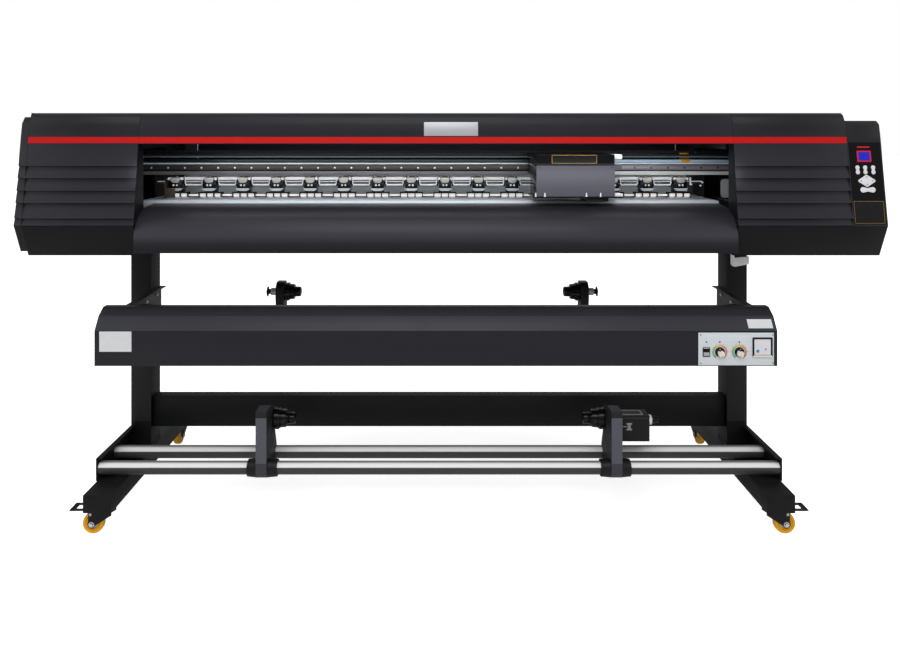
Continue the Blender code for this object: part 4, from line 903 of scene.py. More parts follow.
def brow_y(z):
    """Depth of the brow over the leaning front at a height."""
    (y0, z0), (y1, z1) = BROW[0], BROW[1]
    return y0 + (z - z0) * (y1 - y0) / (z1 - z0)


def stripe_band(start, end, height):
    """Strip of red film that lies on the leaning front."""
    top = BROW[0][1] - 0.0015
    low = top - height
    outline = [
        (face_y(low), low), (face_y(low) - 0.0005, low), (face_y(top) - 0.0005, top),
        (face_y(top), top)
    ]
    return plate("X", outline, start, end)


def dress_body(sizes):
    """Covers, end shells, apron and chassis, the red band, the blank badge and the rear."""
    edge = sizes.edge
    refined("centre_cover", "body coat", edge, places=BROW[1:], offset=sizes.brow)
    for node in ("left_cover", "right_cover"):
        refined(node, "cover coat", edge, places=BROW[1:], offset=sizes.brow)
    for node in ("left_end_shell", "right_end_shell"):
        refined(node, "end coat", edge * 1.5)
    refined("apron", "apron coat", edge * 0.5, sharper=50, smooth=45)
    refined("chassis", "inner coat", edge * 0.6)

    for place, body in (("left", "left_lid"), ("right", "right_lid"), ("centre", "frame")):
        low, high = extent(f"{place}_cover")
        band = stripe_band(low.x, high.x, sizes.stripe)
        publish(f"stripe_{place}", band, "stripe film", body)

    low, high, depth, sunk = 1.1385, 1.1790, 0.0016, 0.0004
    back_low, back_high = brow_y(low) + sunk, brow_y(high) + sunk
    outline = [
        (back_low, low), (brow_y(low) - depth, low), (brow_y(high) - depth, high), (back_high, high)
    ]
    badge = plate("X", outline, -0.044, 0.114, 0.0006)
    publish("blank_badge", badge, "badge metal", "frame")

    rear_vents()
    rear_screws()


def rear_vents():
    """Louvres on the rear of the two ends, and the power inlet with its switch on the right one."""
    rear = extent("left_end_shell")[1].y
    sunk, proud = rear - 0.0005, rear + 0.0040
    for name, x in (("left", -1.04), ("right", 1.03)):
        slats = []
        for row in range(9):
            z = 0.90 + row * 0.020
            outline = [(sunk, z), (proud, z - 0.001), (proud, z + 0.001), (sunk, z + 0.009)]
            slats.append(plate("X", outline, x - 0.075, x + 0.075, 0.0005))
        publish(f"rear_louvres_{name}", slats, "body coat", "frame")
    inlet = block((1.19, rear - 0.0004, 0.83), (1.27, rear + 0.0022, 0.90), 0.001)
    publish("inlet_plate", inlet, "zinc", "frame")
    socket_x, switch_x, level = 1.214, 1.250, 0.864
    outer = rounded_rectangle((socket_x, level), 0.030, 0.024, 0.004)
    inner = rounded_rectangle((socket_x, level), 0.025, 0.019, 0.003)
    socket = ring_plate("Y", outer, inner, rear + 0.0018, rear + 0.008, 0.0006)
    rocker = plate(
        "Y", rounded_rectangle((switch_x, level), 0.015, 0.024, 0.002), rear + 0.0018,
        rear + 0.0060, 0.001
    )
    publish("inlet_socket", [socket, rocker], "black plastic", "frame")
    pins = []
    for x, z in ((-0.006, -0.002), (0.006, -0.002), (0.0, 0.003)):
        centre = Vector((socket_x + x, rear + 0.0035, level + z))
        half = Vector((0.001, 0.0015, 0.003))
        pins.append(block(centre - half, centre + half, 0.0004))
    publish("inlet_pins", pins, "zinc", "frame")


def rear_screws():
    """Screws that hold the fixed cover along its rear."""
    rear = extent("centre_cover")[1].y
    screws = [
        cap_screw("Y", (-0.80 + 0.1975 * i, 1.160), rear, 1, 0.0045, 0.0022) for i in range(9)
    ]
    publish("rear_screws", screws, "dark screw", "frame")


# ---------------------------------------------------------------- stand


def dress_stand(sizes):
    """Legs, crossbar, tubes and feed rail, with their bolts, end plugs and weld beads."""
    for node, finish in (("left_leg", "leg"), ("right_leg", "leg"), ("crossbar", "stand")):
        refined(node, f"{finish} coat", sizes.tube_edge * 0.6, 3)
    for name in ("front_tube", "rear_tube"):
        refined(name, "tube steel", 0.0004, 1, 40)
    refined("feed_rail", "tube steel", 0.0012, 2)
    bolts, plugs, beads = [], [], []
    foot_top, bead = 0.1286, 0.0030
    tube_plate, post_outside, post_inside, rail_plate = 1.005, 1.001, 0.936, 0.9725
    for _, side in SIDES:
        for tube in (FRONT_TUBE, REAR_TUBE):
            bolts.append(hex_bolt("X", tube, side * tube_plate, side, 0.008, 0.006))
        for y in (-0.010, 0.010):
            for z in (0.205, 0.265):
                bolts.append(hex_bolt("X", (y, z), side * post_outside, side, 0.0065, 0.005))
        for z in (0.410, 0.450):
            bolts.append(hex_bolt("X", (0.170, z), side * rail_plate, side, 0.0055, 0.005))
        inner, outer = side * post_inside, side * post_outside
        for y in (-0.040, 0.040):
            beads.append(
                rod("X", (y, foot_top), inner + side * 0.004, outer - side * 0.004, bead, 10, 0.001)
            )
        beads.append(rod("Y", (inner, foot_top), -0.036, 0.036, bead, 10, 0.001))
        profile = [(0.9985, 0.0), (0.9985, 0.0160), (0.9960, 0.0170), (0.985, 0.0170), (0.985, 0.0)]
        profile = [(side * along, radius) for along, radius in profile]
        plugs.append(turned("X", FRONT_TUBE, profile, 24))
    publish("stand_bolts", bolts, "dark screw", "frame")
    publish("foot_welds", beads, "stand coat", "frame")
    publish("tube_plugs", plugs, "black plastic", "frame")


# ---------------------------------------------------------------- casters


def mirrored(profile):
    """A profile over one half of a wheel, carried on over the other half."""
    return profile + [(-along, radius) for along, radius in profile[::-1]]


def dress_casters(sizes):
    """Forks, wheels with grooved treads and hubs, swivel races, axle bolts and brake pedals."""
    swivel_x, swivel_y, fork_face = 0.961, 0.322, 0.018
    for corner in CORNERS:
        side = -1 if "left" in corner else 1
        front = corner.startswith("front")
        refined(f"caster_fork_{corner}", "stand coat", 0.0005, 1, 35)
        low, high = extent(f"caster_wheel_{corner}")
        centre = (low + high) / 2
        axis = "Y" if front else "X"
        across = (centre.x, centre.z) if front else (centre.y, centre.z)
        middle = centre.y if front else centre.x
        groove = sizes.wheel_groove
        tread = mirrored(
            [
                (-0.012, 0.0155), (-0.0110, 0.0175), (-0.0085, 0.0180), (-0.0085, 0.0180 + groove),
                (-0.0120, 0.0215), (-0.0120, 0.0262), (-0.0105, 0.0282), (-0.0075, 0.0295),
                (-0.003, 0.0300)
            ]
        )
        tread = turned(axis, across, [(middle + along, radius) for along, radius in tread], 48)
        wheel = f"wheel_{corner}"
        publish(
            f"wheel_tread_{corner}", tread, "wheel", wheel,
            [f"caster_wheel_{corner}"]
        )
        hub = mirrored(
            [
                (-0.0112, 0.0044), (-0.0118, 0.0062), (-0.0118, 0.0100), (-0.0095, 0.0108),
                (-0.0092, 0.0142), (-0.0108, 0.0154)
            ]
        )
        hub = turned(axis, across, [(middle + along, radius) for along, radius in hub], 32)
        publish(f"wheel_hub_{corner}", hub, "zinc", wheel)
        race = [
            (0.0668, 0.0), (0.0668, 0.0225), (0.0690, 0.0250), (0.0715, 0.0250), (0.0722, 0.0242),
            (0.0735, 0.0242), (0.0742, 0.0250), (0.0768, 0.0250), (0.0780, 0.0235), (0.0780, 0.0)
        ]
        race = turned("Z", (side * swivel_x, -swivel_y if front else swivel_y), race, 40)
        publish(f"swivel_race_{corner}", race, "zinc", f"caster_{corner}")
        pivot = (across[0] + (side * 0.003 if front else -0.003), 0.0595)
        caps = [
            hex_bolt(axis, across, middle + out * fork_face, out, 0.0064, 0.0042) for out in (-1, 1)
        ]
        caps += [
            cap_screw(axis, pivot, middle + out * fork_face, out, 0.0040, 0.0020) for out in (-1, 1)
        ]
        publish(f"axle_bolts_{corner}", caps, "bolt white", f"caster_{corner}")
    for corner, side in zip(CORNERS[:2], (-1, 1)):
        refined(f"brake_pedal_{corner}", "stand coat", 0.0005, 1, 35)
        ribs = []
        for reach in (0.080, 0.0845, 0.089):
            ends = sorted(side * (swivel_x + reach + width) for width in (0, 0.002))
            ribs.append(block((ends[0], -0.343, 0.0738), (ends[1], -0.301, 0.0750), 0.0004, 1))
        publish(f"pedal_ribs_{corner}", ribs, "black rubber", f"brake_{corner}")


# ---------------------------------------------------------------- take-up and feed


def cone_profile(face, side, reach, radii):
    """Stepped cone with grooved rims, from its tip back to the arm."""
    steps = [0, 0.30 * reach, 0.60 * reach, reach]
    points = [(-reach, 0), (-reach, radii[2] * 0.70), (-reach + 0.0015, radii[2] * 0.90)]
    for index in (2, 1, 0):
        radius = radii[index]
        start, end = -steps[index + 1], -steps[index]
        points += [
            (start + 0.0035, radius * 0.955), (end - 0.0060, radius * 0.985),
            (end - 0.0052, radius * 0.955), (end - 0.0040, radius * 0.955), (end - 0.0032, radius),
            (end - 0.0006, radius)
        ]
        if index:
            points.append((end - 0.0004, radii[index - 1] * 0.90))
    points += [(-0.0004, 0.0080), (-0.0004, 0)]
    return [(face + side * along, radius) for along, radius in points]


def cone_ribs(axis, face, side, reach, radius):
    """Grip ribs round a cone's widest step."""
    ribs = []
    for turn in range(18):
        rib = block(
            (-0.30 * reach * 0.86, -0.0007, radius * 0.93), (-0.0070, 0.0007, radius * 0.999),
            0.0002, 1
        )
        if side < 0:
            bmesh.ops.scale(rib, vec=(-1, 1, 1), verts=rib.verts)
            bmesh.ops.recalc_face_normals(rib, faces=rib.faces)
        bmesh.ops.rotate(
            rib, cent=(0, 0, 0), matrix=Matrix.Rotation(math.radians(20 * turn), 3, "X"),
            verts=rib.verts
        )
        bmesh.ops.translate(rib, vec=(face, *axis), verts=rib.verts)
        ribs.append(rib)
    return ribs


def dress_cone(kind, name, axis, face, side, reach, knob=False):
    """One core cone with its ribs, shaft and tip, and its knob where it has one."""
    radii = (0.0320, 0.0275, 0.0180)
    node, body = f"{kind}_cone_{name}", f"{kind}_{name}_core"
    shapes = [turned("X", axis, cone_profile(face, side, reach, radii), 40)]
    shapes += cone_ribs(axis, face, side, reach, radii[0])
    publish(f"{node}_finished", shapes, "gloss plastic", body, [node])
    low, high = extent(node)
    tail = high.x if side > 0 else low.x
    shaft_end = tail if not knob else tail - side * 0.010
    shaft = rod("X", axis, face - side * 0.002, shaft_end, 0.0079, 24, 0.0008)
    publish(f"{node}_shaft", shaft, "zinc", body)
    if knob:
        collar = [
            (0.038, 0), (0.038, 0.0115), (0.0365, 0.013), (0.018, 0.013), (0.016, 0.0115),
            (0.016, 0)
        ]
        collar = turned("X", axis, [(tail - side * along, radius) for along, radius in collar], 32)
        publish(f"{node}_collar", collar, "pale metal", body)
        disc = [
            (0.016, 0), (0.016, 0.009), (0.007, 0.009), (0.006, 0.0165), (0.005, 0.018),
            (0.0035, 0.018), (0.002, 0.012), (0, 0.006), (0, 0)
        ]
        disc = turned("X", axis, [(tail - side * along, radius) for along, radius in disc], 32)
        publish(f"{node}_knob", disc, "black plastic", body)
    tip = hex_bolt("X", axis, face - side * reach, -side, 0.0045, 0.0004)
    publish(f"{node}_tip", tip, "dark screw", body)


def dress_takeup_arm(name, side):
    """One take-up arm with its cone, tube collars, ribs, clamp knob and seam."""
    node, body = f"takeup_arm_{name}", f"takeup_{name}"
    refined(node, "arm plastic", 0.0030, 3, 30)
    near = side * 0.5035
    middle = near + side * 0.016
    dress_cone("takeup", name, TAKEUP_CORE, near, side, 0.066)
    collars = []
    for out in (-1, 1):
        profile = [
            (0.0160, 0.0197), (0.0160, 0.0268), (0.0220, 0.0262), (0.0400, 0.0246),
            (0.0430, 0.0246), (0.0440, 0.0236), (0.0440, 0.0197)
        ]
        profile = [(middle + out * along, radius) for along, radius in profile]
        collars.append(turned("X", FRONT_TUBE, profile, 40))
    publish(f"{node}_collars", collars, "black plastic", body)
    ribs = []
    for z in (0.172, 0.192, 0.212, 0.232, 0.252):
        outline = [(-0.283, z), (-0.283, z + 0.0035), (-0.186, z + 0.0485), (-0.186, z + 0.0450)]
        ribs.append(plate("X", outline, near - side * 0.0012, near + side * 0.0010, 0.0004, 1))
    publish(f"{node}_ribs", ribs, "rib plastic", body)
    profile = [
        (0.1372, 0), (0.1372, 0.006), (0.1350, 0.006), (0.1345, 0.012), (0.1310, 0.013),
        (0.1300, 0.011), (0.1300, 0)
    ]
    clamp = turned("Z", (middle, -0.208), profile, 24)
    publish(f"{node}_clamp", clamp, "black plastic", body)
    seam = block((middle - 0.0162, -0.2905, 0.3150), (middle + 0.0162, -0.2880, 0.3166), 0.0003, 1)
    publish(f"{node}_seam", seam, "black plastic", body)


def dress_feed_arm(name, face, side):
    """One feed arm with its cone, screws and clamp knob."""
    node, body = f"feed_arm_{name}", f"feed_{name}"
    refined(node, "black plastic", 0.0030, 3, 30)
    dress_cone("feed", name, FEED_CORE, face, side, 0.056, True)
    low, high = extent(node)
    middle = (low.x + high.x) / 2
    outside = high.x if side > 0 else low.x
    screws = [cap_screw("Y", (middle, z), low.y, -1, 0.0045, 0.003) for z in (0.398, 0.462)]
    screws += [cap_screw("X", (y, 0.510), outside, side, 0.004, 0.003) for y in (0.156, 0.188)]
    publish(f"{node}_screws", screws, "dark screw", body)
    profile = [
        (0.2125, 0), (0.2125, 0.006), (0.220, 0.006), (0.221, 0.013), (0.232, 0.014),
        (0.234, 0.011), (0.234, 0)
    ]
    clamp = turned("Y", (middle, 0.430), profile, 24)
    publish(f"{node}_clamp", clamp, "black plastic", body)


def dress_holders():
    """Both take-up arms, the take-up motor and both feed arms."""
    for name, side in SIDES:
        dress_takeup_arm(name, side)
    motor_box()
    dress_feed_arm("left", -0.5425, -1)
    dress_feed_arm("right", 0.495, 1)


def motor_box():
    """Take-up motor's housing: a framed inset in its top, a winding mark and the gland's ring."""
    refined("takeup_motor", "black plastic", 0.0030, 3, 30)
    start, front, top = extent("takeup_motor")[0].x, -0.228, 0.298
    end = start + 0.096
    inset = ((start + end) / 2 - 0.006, -0.201)
    outer = rounded_rectangle(inset, 0.074, 0.036, 0.002)
    inner = rounded_rectangle(inset, 0.066, 0.029, 0.001)
    ring = ring_plate("Z", outer, inner, top - 0.0004, top + 0.0008, 0.0003)
    publish("motor_inset", ring, "shield grey", "takeup_right")
    # Paler strip along the front's top edge: a painted highlight
    lip = block(
        (start + 0.004, front - 0.0008, 0.2905), (end - 0.004, front + 0.0006, 0.2925), 0.0004, 1
    )
    publish("motor_painted_highlight", lip, "rib plastic", "takeup_right")
    x, z = 0.5705, 0.2660
    reel = [
        (0.0085, 0.0110), (0.0085, 0.0075), (0.0042, 0.0040), (0.0042, -0.0040), (0.0085, -0.0075),
        (0.0085, -0.0110)
    ]
    reel = reel[::-1] + [(-a, b) for a, b in reel]
    mark = [
        plate("Y", [(x + a, z + b) for a, b in reel], front - 0.0012, front + 0.0004, 0.0003, 1),
        block(
            (start + 0.0015, front - 0.0010, z - 0.0010), (x - 0.0040, front + 0.0004, z + 0.0010),
            0.0003, 1
        )
    ]
    publish("motor_mark", mark, "shield grey", "takeup_right")
    y, z = -0.212, 0.281
    ring = [
        (-0.001, 0), (-0.001, 0.0150), (0.004, 0.0150), (0.0055, 0.0142), (0.0085, 0.0142),
        (0.0085, 0)
    ]
    ring = turned("X", (y, z), [(end + along, radius) for along, radius in ring], 36)
    publish("motor_gland_ring", ring, "bolt white", "takeup_right")
    gland = [
        (0.008, 0), (0.008, 0.0108), (0.018, 0.0108), (0.019, 0.0092), (0.028, 0.0085),
        (0.0305, 0.0070), (0.0305, 0)
    ]
    gland = turned("X", (y, z), [(end + along, radius) for along, radius in gland], 24)
    publish("motor_gland", gland, "gloss plastic", "takeup_right")
    screws = [
        cap_screw("Y", (x, 0.2275), front, -1, 0.0026, 0.0015) for x in (start + 0.006, end - 0.006)
    ]
    publish("motor_screws", screws, "dark screw", "takeup_right")


# ---------------------------------------------------------------- dryer

# The row of the rocker switch and the two knobs, and the faces of their plate and the thermostat
CONTROL_Z = 0.520
SWITCH_X = 0.7655
KNOB_XS = (0.804, 0.860)
PLATE_FACE = -0.3303
THERMOSTAT_FACE = -0.3333


def dress_dryer():
    """Housing, brackets, lamp, blank labels, screws and the control plate."""
    front = extent("dryer_housing")[0].y
    refined("dryer_housing", "dryer coat", 0.0008, 2)
    for side in ("left", "right"):
        refined(f"dryer_bracket_{side}", "stand coat", 0.0006)
    heads = []
    for _, side in SIDES:
        for y, z in ((-0.085, 0.608), (0.000, 0.612)):
            heads.append(cap_screw("X", (y, z), side * 0.9317, -side, 0.0050, 0.0028))
    publish("bracket_screws", heads, "bolt white", "frame")
    refined("dryer_lamp", "lamp", 0.0006, 2, 40)
    refined("dryer_control_plate", "control plate", 0.0006)
    label = block((-0.974, front - 0.0005, 0.520), (-0.8817, front + 0.0003, 0.578), 0.0003, 1)
    publish("blank_label_left", label, "blank film", "frame")
    foot, head = Vector((-0.328, 0.580)), Vector((-0.303, 0.616))
    run = (head - foot).normalized()
    out = Vector((-run.y, run.x)) * 0.0005
    base, tip = foot + run * 0.0075, foot + run * 0.0345
    outline = [base - out, base + out, tip + out, tip - out]
    label = plate("X", outline, 0.8895, 0.9600)
    publish("blank_label_right", label, "blank film", "frame")
    screws = [
        cap_screw("Z", (-0.93 + 0.31 * i, -0.258), 0.636, 1, 0.0032, 0.0010) for i in range(7)
    ]
    publish("dryer_screws", screws, "dark screw", "frame")
    control_plate()
    for index, x in enumerate(KNOB_XS):
        dress_knob(index + 1, (x, CONTROL_Z), lean=(-8, 10)[index])
    thermostat()


def control_plate():
    """Screws, the rocker switch in its bezel, and a dot over each control."""
    low, high = extent("dryer_control_plate")
    places = [
        (x, z) for x in (low.x + 0.006, high.x - 0.0028) for z in (low.z + 0.006, high.z - 0.006)
    ]
    screws = [cap_screw("Y", place, PLATE_FACE, -1, 0.0026, 0.0012) for place in places]
    publish("control_plate_screws", screws, "zinc", "frame")
    refined("dryer_switch", "rocker", 0.0006, 2, 20)
    outer = rounded_rectangle((SWITCH_X, CONTROL_Z), 0.0210, 0.0268, 0.0015)
    inner = rounded_rectangle((SWITCH_X, CONTROL_Z), 0.0168, 0.0225, 0.0006)
    bezel = ring_plate("Y", outer, inner, PLATE_FACE - 0.0012, PLATE_FACE + 0.0002, 0.0003)
    publish("switch_bezel", bezel, "black plastic", "frame")
    dots = [rod("Y", (x, 0.5485), PLATE_FACE - 0.0010, PLATE_FACE + 0.0002, 0.0022, 20, 0.0003)
            for x in (SWITCH_X, *KNOB_XS)]
    publish("control_dots", dots, "black film", "frame")


def dress_knob(number, centre, lean):
    """One double-lobed knob with its coloured ring scale and ticks, turned a few degrees."""
    x, z = centre
    face = PLATE_FACE
    start, end = 90 - DIAL_SWEEP / 2, 90 + DIAL_SWEEP / 2
    FINISHES[f"scale {number}"] = dial_scale(f"dial_scale_{number}", centre)
    ring = arc(centre, 0.0215, start, end, 40) + arc(centre, 0.0165, end, start, 40)
    ring = plate("Y", ring, face - 0.0004, face + 0.0002)
    publish(f"dial_ring_{number}", ring, f"scale {number}", "frame")
    ticks = []
    for step in range(11):
        angle = math.radians(end - DIAL_SWEEP / 10 * step)
        spot = Matrix.Translation((x, 0, z)) @ Matrix.Rotation(math.pi / 2 - angle, 4, "Y")
        tick = block((-0.0003, face - 0.0005, 0.0222), (0.0003, face + 0.0002, 0.0240))
        bmesh.ops.transform(tick, matrix=spot, verts=tick.verts)
        ticks.append(tick)
    publish(f"dial_ticks_{number}", ticks, "black film", "frame")
    body = f"knob_{number}"
    skirt = [
        (0.0004, 0), (0.0004, 0.0135), (0.0010, 0.0140), (0.0038, 0.0136), (0.0046, 0.0118),
        (0.0046, 0)
    ]
    skirt = turned("Y", centre, [(face - along, radius) for along, radius in skirt], 48)
    publish(
        f"knob_skirt_{number}", skirt, "black plastic", body,
        [f"dryer_knob_{number}"]
    )
    grip = [
        rounded_rectangle((x + out * 0.0041, z - 0.0028), 0.0076, 0.0150, 0.0037) for out in (-1, 1)
    ]
    grip = [plate("Y", lobe, face - 0.0163, face - 0.0040, 0.0014, 3) for lobe in grip]
    pointer = block(
        (x - 0.0012, face - 0.0056, z + 0.0075), (x + 0.0012, face - 0.0040, z + 0.0100), 0.0003, 1
    )
    for shape in (*grip, pointer):
        turn = Matrix.Rotation(math.radians(lean), 3, "Y")
        bmesh.ops.rotate(shape, cent=Vector((x, 0, z)), matrix=turn, verts=shape.verts)
    publish(f"knob_grip_{number}", grip, "cream plastic", body)
    publish(f"knob_pointer_{number}", pointer, "white plastic", body)
    shaft = rod("Y", centre, face + 0.0002, face + 0.009, 0.0029, 16, 0.0004)
    publish(f"knob_shaft_{number}", shaft, "zinc", body)


def thermostat():
    """Bezel, face, window, dial and lower edge of the thermostat."""
    centre, face = (0.925, 0.535), THERMOSTAT_FACE
    outer = rounded_rectangle(centre, 0.0580, 0.0560, 0.003)
    inner = rounded_rectangle(centre, 0.0470, 0.0450, 0.002)
    bezel = ring_plate("Y", outer, inner, face - 0.0016, face + 0.0003, 0.0005)
    publish("thermostat_bezel", bezel, "black plastic", "frame")
    inset = plate(
        "Y", rounded_rectangle(centre, 0.0492, 0.0472, 0.002), face - 0.0006, face + 0.0003
    )
    publish("thermostat_face", inset, "white plastic", "frame")
    window = block((0.9075, face - 0.0012, 0.5195), (0.9155, face - 0.0002, 0.5275), 0.0003)
    publish("thermostat_window", window, "sky film", "frame")
    dial = rod("Y", (0.934, 0.529), face - 0.0016, face - 0.0002, 0.0022, 20, 0.0003)
    publish("thermostat_dial", dial, "sky film", "frame")
    edge = block((0.8985, face - 0.0022, 0.5072), (0.9515, face - 0.0002, 0.5116), 0.0005)
    publish("thermostat_edge", edge, "cream plastic", "frame")


# ---------------------------------------------------------------- print unit


def dress_rail(sizes):
    """Rail beam, linear rail, belt drive, grit roller, platen, lever and parking station."""
    refined("rail_beam", "inner coat", 0.0005, 1)
    refined("drive_belt", "belt", 0.0, smooth=30)
    for node in ("idler_pulley", "drive_pulley"):
        refined(node, "aluminium", 0.0002, 1, 40)
    refined("carriage_motor", "black plastic", 0.0015, 2)
    refined("grit_roller", "grit", 0.0003, 1, 60)
    refined("platen", "platen metal", 0.0005, 1, 45, smooth=45)
    refined("lift_lever", "lever plastic", 0.0012, 2)
    refined("capping_station", "inner coat", 0.0010)
    low, high = extent("rail_beam")
    left, right = low.x + 0.005, high.x - 0.005
    front, proud, back = -0.033, 0.00018, -0.0226
    facing = block((left, front - 0.0001, 1.0250), (right, -0.0228, 1.0412), 0.0008)
    publish("rail_facing", facing, "rail steel", "frame")
    grooves = [
        block((left, front - proud, z - 0.0004), (right, front + 0.001, z + 0.0004))
        for z in (1.0275, 1.0385)
    ]
    publish("rail_grooves", grooves, "dark screw", "frame")
    head = [
        (front - proud, 0), (front - proud, 0.0030), (front + 0.0008, 0.0030), (front + 0.0008, 0)
    ]
    first_dark = 0.447
    places = [0.5832 + sizes.rail_screws * step for step in range(-40, 12)]
    places = [x for x in places if left + 0.015 < x < right - 0.015]
    bright = [turned("Y", (x, 1.0330), head, 16) for x in places if x < first_dark]
    dark = [turned("Y", (x, 1.0330), head, 16) for x in places if x >= first_dark]
    publish("rail_screws", bright, "bolt white", "frame")
    publish("parking_rail_screws", dark, "dark screw", "frame")
    strips = (
        ("lower", "strip", -0.0236, 1.0092, 1.0212), ("face", "face", -0.0236, 1.0492, 1.0592),
        ("edge", "edge", -0.0237, 1.0440, 1.0486)
    )
    for name, finish, face, foot, top in strips:
        strip = block((left, face, foot), (right, back, top), 0.0004)
        publish(f"beam_{name}_strip", strip, f"beam {finish}", "frame")
    strip = block((left, 0.0262, 1.0780), (right - 0.02, 0.0266, 1.0880))
    publish("encoder_strip", strip, "inner coat", "frame")
    carrier = block((left, 0.0255, 1.0755), (right - 0.02, 0.0275, 1.0778), 0.0003)
    publish("encoder_carrier", carrier, "dark screw", "frame")
    posts = [
        block((x - 0.006, 0.0235, 1.0598), (x + 0.006, 0.0300, 1.0885), 0.0008)
        for x in (left + 0.010, 0.86, right - 0.010)
    ]
    publish("encoder_posts", posts, "dark screw", "frame")
    sensor = [
        block((0.802, 0.0215, 1.0598), (0.832, 0.0330, 1.0800), 0.0012),
        block((0.792, -0.0240, 1.0505), (0.821, -0.0225, 1.0597), 0.0003)
    ]
    publish("limit_sensor", sensor, "orange film", "frame")
    screws = [
        cap_screw("Z", (x, y), 1.058, 1, 0.0028, 0.0022) for x in (1.1063, 1.1523)
        for y in (-0.018, 0.028)
    ]
    publish("motor_face_screws", screws, "zinc", "frame")
    guide_plates()
    station_caps()


def guide_plates():
    """Grey guide behind the pinch units, its brown left end plate and its right clips."""
    guide = [
        (0.0965, 0.9384), (0.0980, 0.9700), (0.1130, 1.0080), (0.1145, 1.0075), (0.1000, 0.9695),
        (0.0985, 0.9384)
    ]
    guide = plate("X", guide, -0.872, 0.852, 0.0004, 1, 40)
    publish("rear_guide", guide, "guide grey", "frame")
    end = [
        block((-0.8740, -0.0900, 0.9410), (-0.8720, -0.0300, 1.0020), 0.0005),
        block((-0.8735, -0.0905, 0.9410), (-0.8400, -0.0890, 0.9700), 0.0004)
    ]
    publish("guide_end_left", end, "brown film", "frame")
    clips = [
        block((0.7985, -0.0880, 0.9800), (0.8035, -0.0850, 1.0050), 0.0008),
        block((0.8035, -0.0880, 0.9800), (0.8075, -0.0850, 0.9850), 0.0006, 1)
    ]
    publish("guide_clips", clips, "white plastic", "frame")
    screws = [
        cap_screw("Y", place, -0.0880, -1, 0.0030, 0.0020)
        for place in ((0.8385, 0.9890), (0.8330, 0.9790))
    ]
    publish("guide_screws", screws, "bolt white", "frame")


def station_caps():
    """Rubber seals, a wiper, a tray rim and a shield on the parking station."""
    top = 0.9350
    seals = []
    for x in (0.935, 1.005):
        outer = rounded_rectangle((x, -0.175), 0.050, 0.086, 0.006)
        inner = rounded_rectangle((x, -0.175), 0.042, 0.078, 0.004)
        seals.append(ring_plate("Z", outer, inner, top - 0.001, top + 0.0045, 0.0008))
    publish("cap_seals", seals, "black rubber", "frame")
    wiper = block((1.060, -0.210, top - 0.001), (1.0625, -0.130, top + 0.0050), 0.0006)
    publish("wiper_blade", wiper, "black rubber", "frame")
    outer = rounded_rectangle((1.0, -0.1475), 0.2080, 0.1730, 0.006)
    inner = rounded_rectangle((1.0, -0.1475), 0.2000, 0.1650, 0.005)
    rim = ring_plate("Z", outer, inner, top - 0.001, top + 0.003, 0.0004)
    publish("drip_tray_rim", rim, "zinc", "frame")
    shield = plate(
        "Y", rounded_rectangle((0.9485, 0.970), 0.1000, 0.0600, 0.010), -0.0862, -0.0846, 0.0004
    )
    publish("station_shield", shield, "shield grey", "frame")


def dress_carriage():
    """Carriage body, its front plate with window and clips, side boxes, ports and print head."""
    refined("carriage_body", "gloss plastic", 0.0018, 3)
    refined("carriage_plate", "carriage metal", 0.0006)
    refined("print_head", "gloss plastic", 0.0010)
    low, high = extent("carriage_plate")
    face, left, right = low.y, low.x, high.x
    outer = rounded_rectangle((0.403, 1.0685), 0.134, 0.0250, 0.002)
    inner = rounded_rectangle((0.403, 1.0685), 0.1316, 0.0226, 0.0012)
    window_frame = ring_plate("Y", outer, inner, -0.2460, -0.2446, 0.0003)
    publish("carriage_window_frame", window_frame, "brass", "carriage")
    window = plate("Y", inner, -0.2455, -0.2444)
    publish("carriage_window", window, "black film", "carriage")
    hood = [(-0.2449, 1.0520), (-0.2462, 1.0520), (-0.2462, 1.0560), (-0.2449, 1.0565)]
    lip = plate("X", hood, left, right)
    publish("carriage_hood_lip", lip, "gloss plastic", "carriage")
    clips = []
    for x in (0.2875, 0.3146, 0.4383, 0.4805):
        outline = [
            (x - 0.0026, 0.9572), (x + 0.0026, 0.9572), (x + 0.0012, 0.9690), (x - 0.0012, 0.9690)
        ]
        clips.append(plate("Y", outline, face - 0.0016, face + 0.0006, 0.0004, 1))
    publish("carriage_clips", clips, "white strip", "carriage")
    screws = [
        cap_screw("Y", (x, 1.0440), face, -1, 0.0022, 0.0010) for x in (left + 0.008, right - 0.008)
    ]
    publish("carriage_screws", screws, "dark screw", "carriage")
    boxes = [
        block((right - 0.0005, -0.2300, 1.0680), (right + 0.0260, -0.1500, 1.0815), 0.0015),
        block((right - 0.0005, -0.2380, 0.9572), (right + 0.0230, -0.2080, 0.9660), 0.0012)
    ]
    publish("carriage_side_boxes", boxes, "white plastic", "carriage")
    bracket = [
        block((right - 0.0005, -0.2330, 1.0370), (right + 0.0240, -0.2300, 1.0530), 0.0006),
        block((right - 0.0005, -0.2330, 0.9572), (right + 0.0030, -0.1200, 1.0360), 0.0006)
    ]
    publish("carriage_bracket", bracket, "carriage metal", "carriage")
    ports = [
        rod("Z", (left + 0.040 + 0.016 * i, -0.150), 1.0810, 1.0819, 0.0050, 16) for i in range(4)
    ]
    publish("carriage_ports", ports, "black rubber", "carriage")
    nozzle = block((0.4420, -0.2300, 0.9414), (0.5000, -0.1350, 0.9424), 0.0003, 1)
    publish("head_nozzle_plate", nozzle, "tube steel", "carriage")


def pinch_places():
    """Middle of every pinch unit, spread evenly between the ends of the roller set."""
    low, high = extent("pinch_rollers")
    first, last = low.x + PINCH_HALF, high.x - PINCH_HALF
    count = round((last - first) / PINCH_PITCH) + 1
    return [first + (last - first) * i / (count - 1) for i in range(count)]


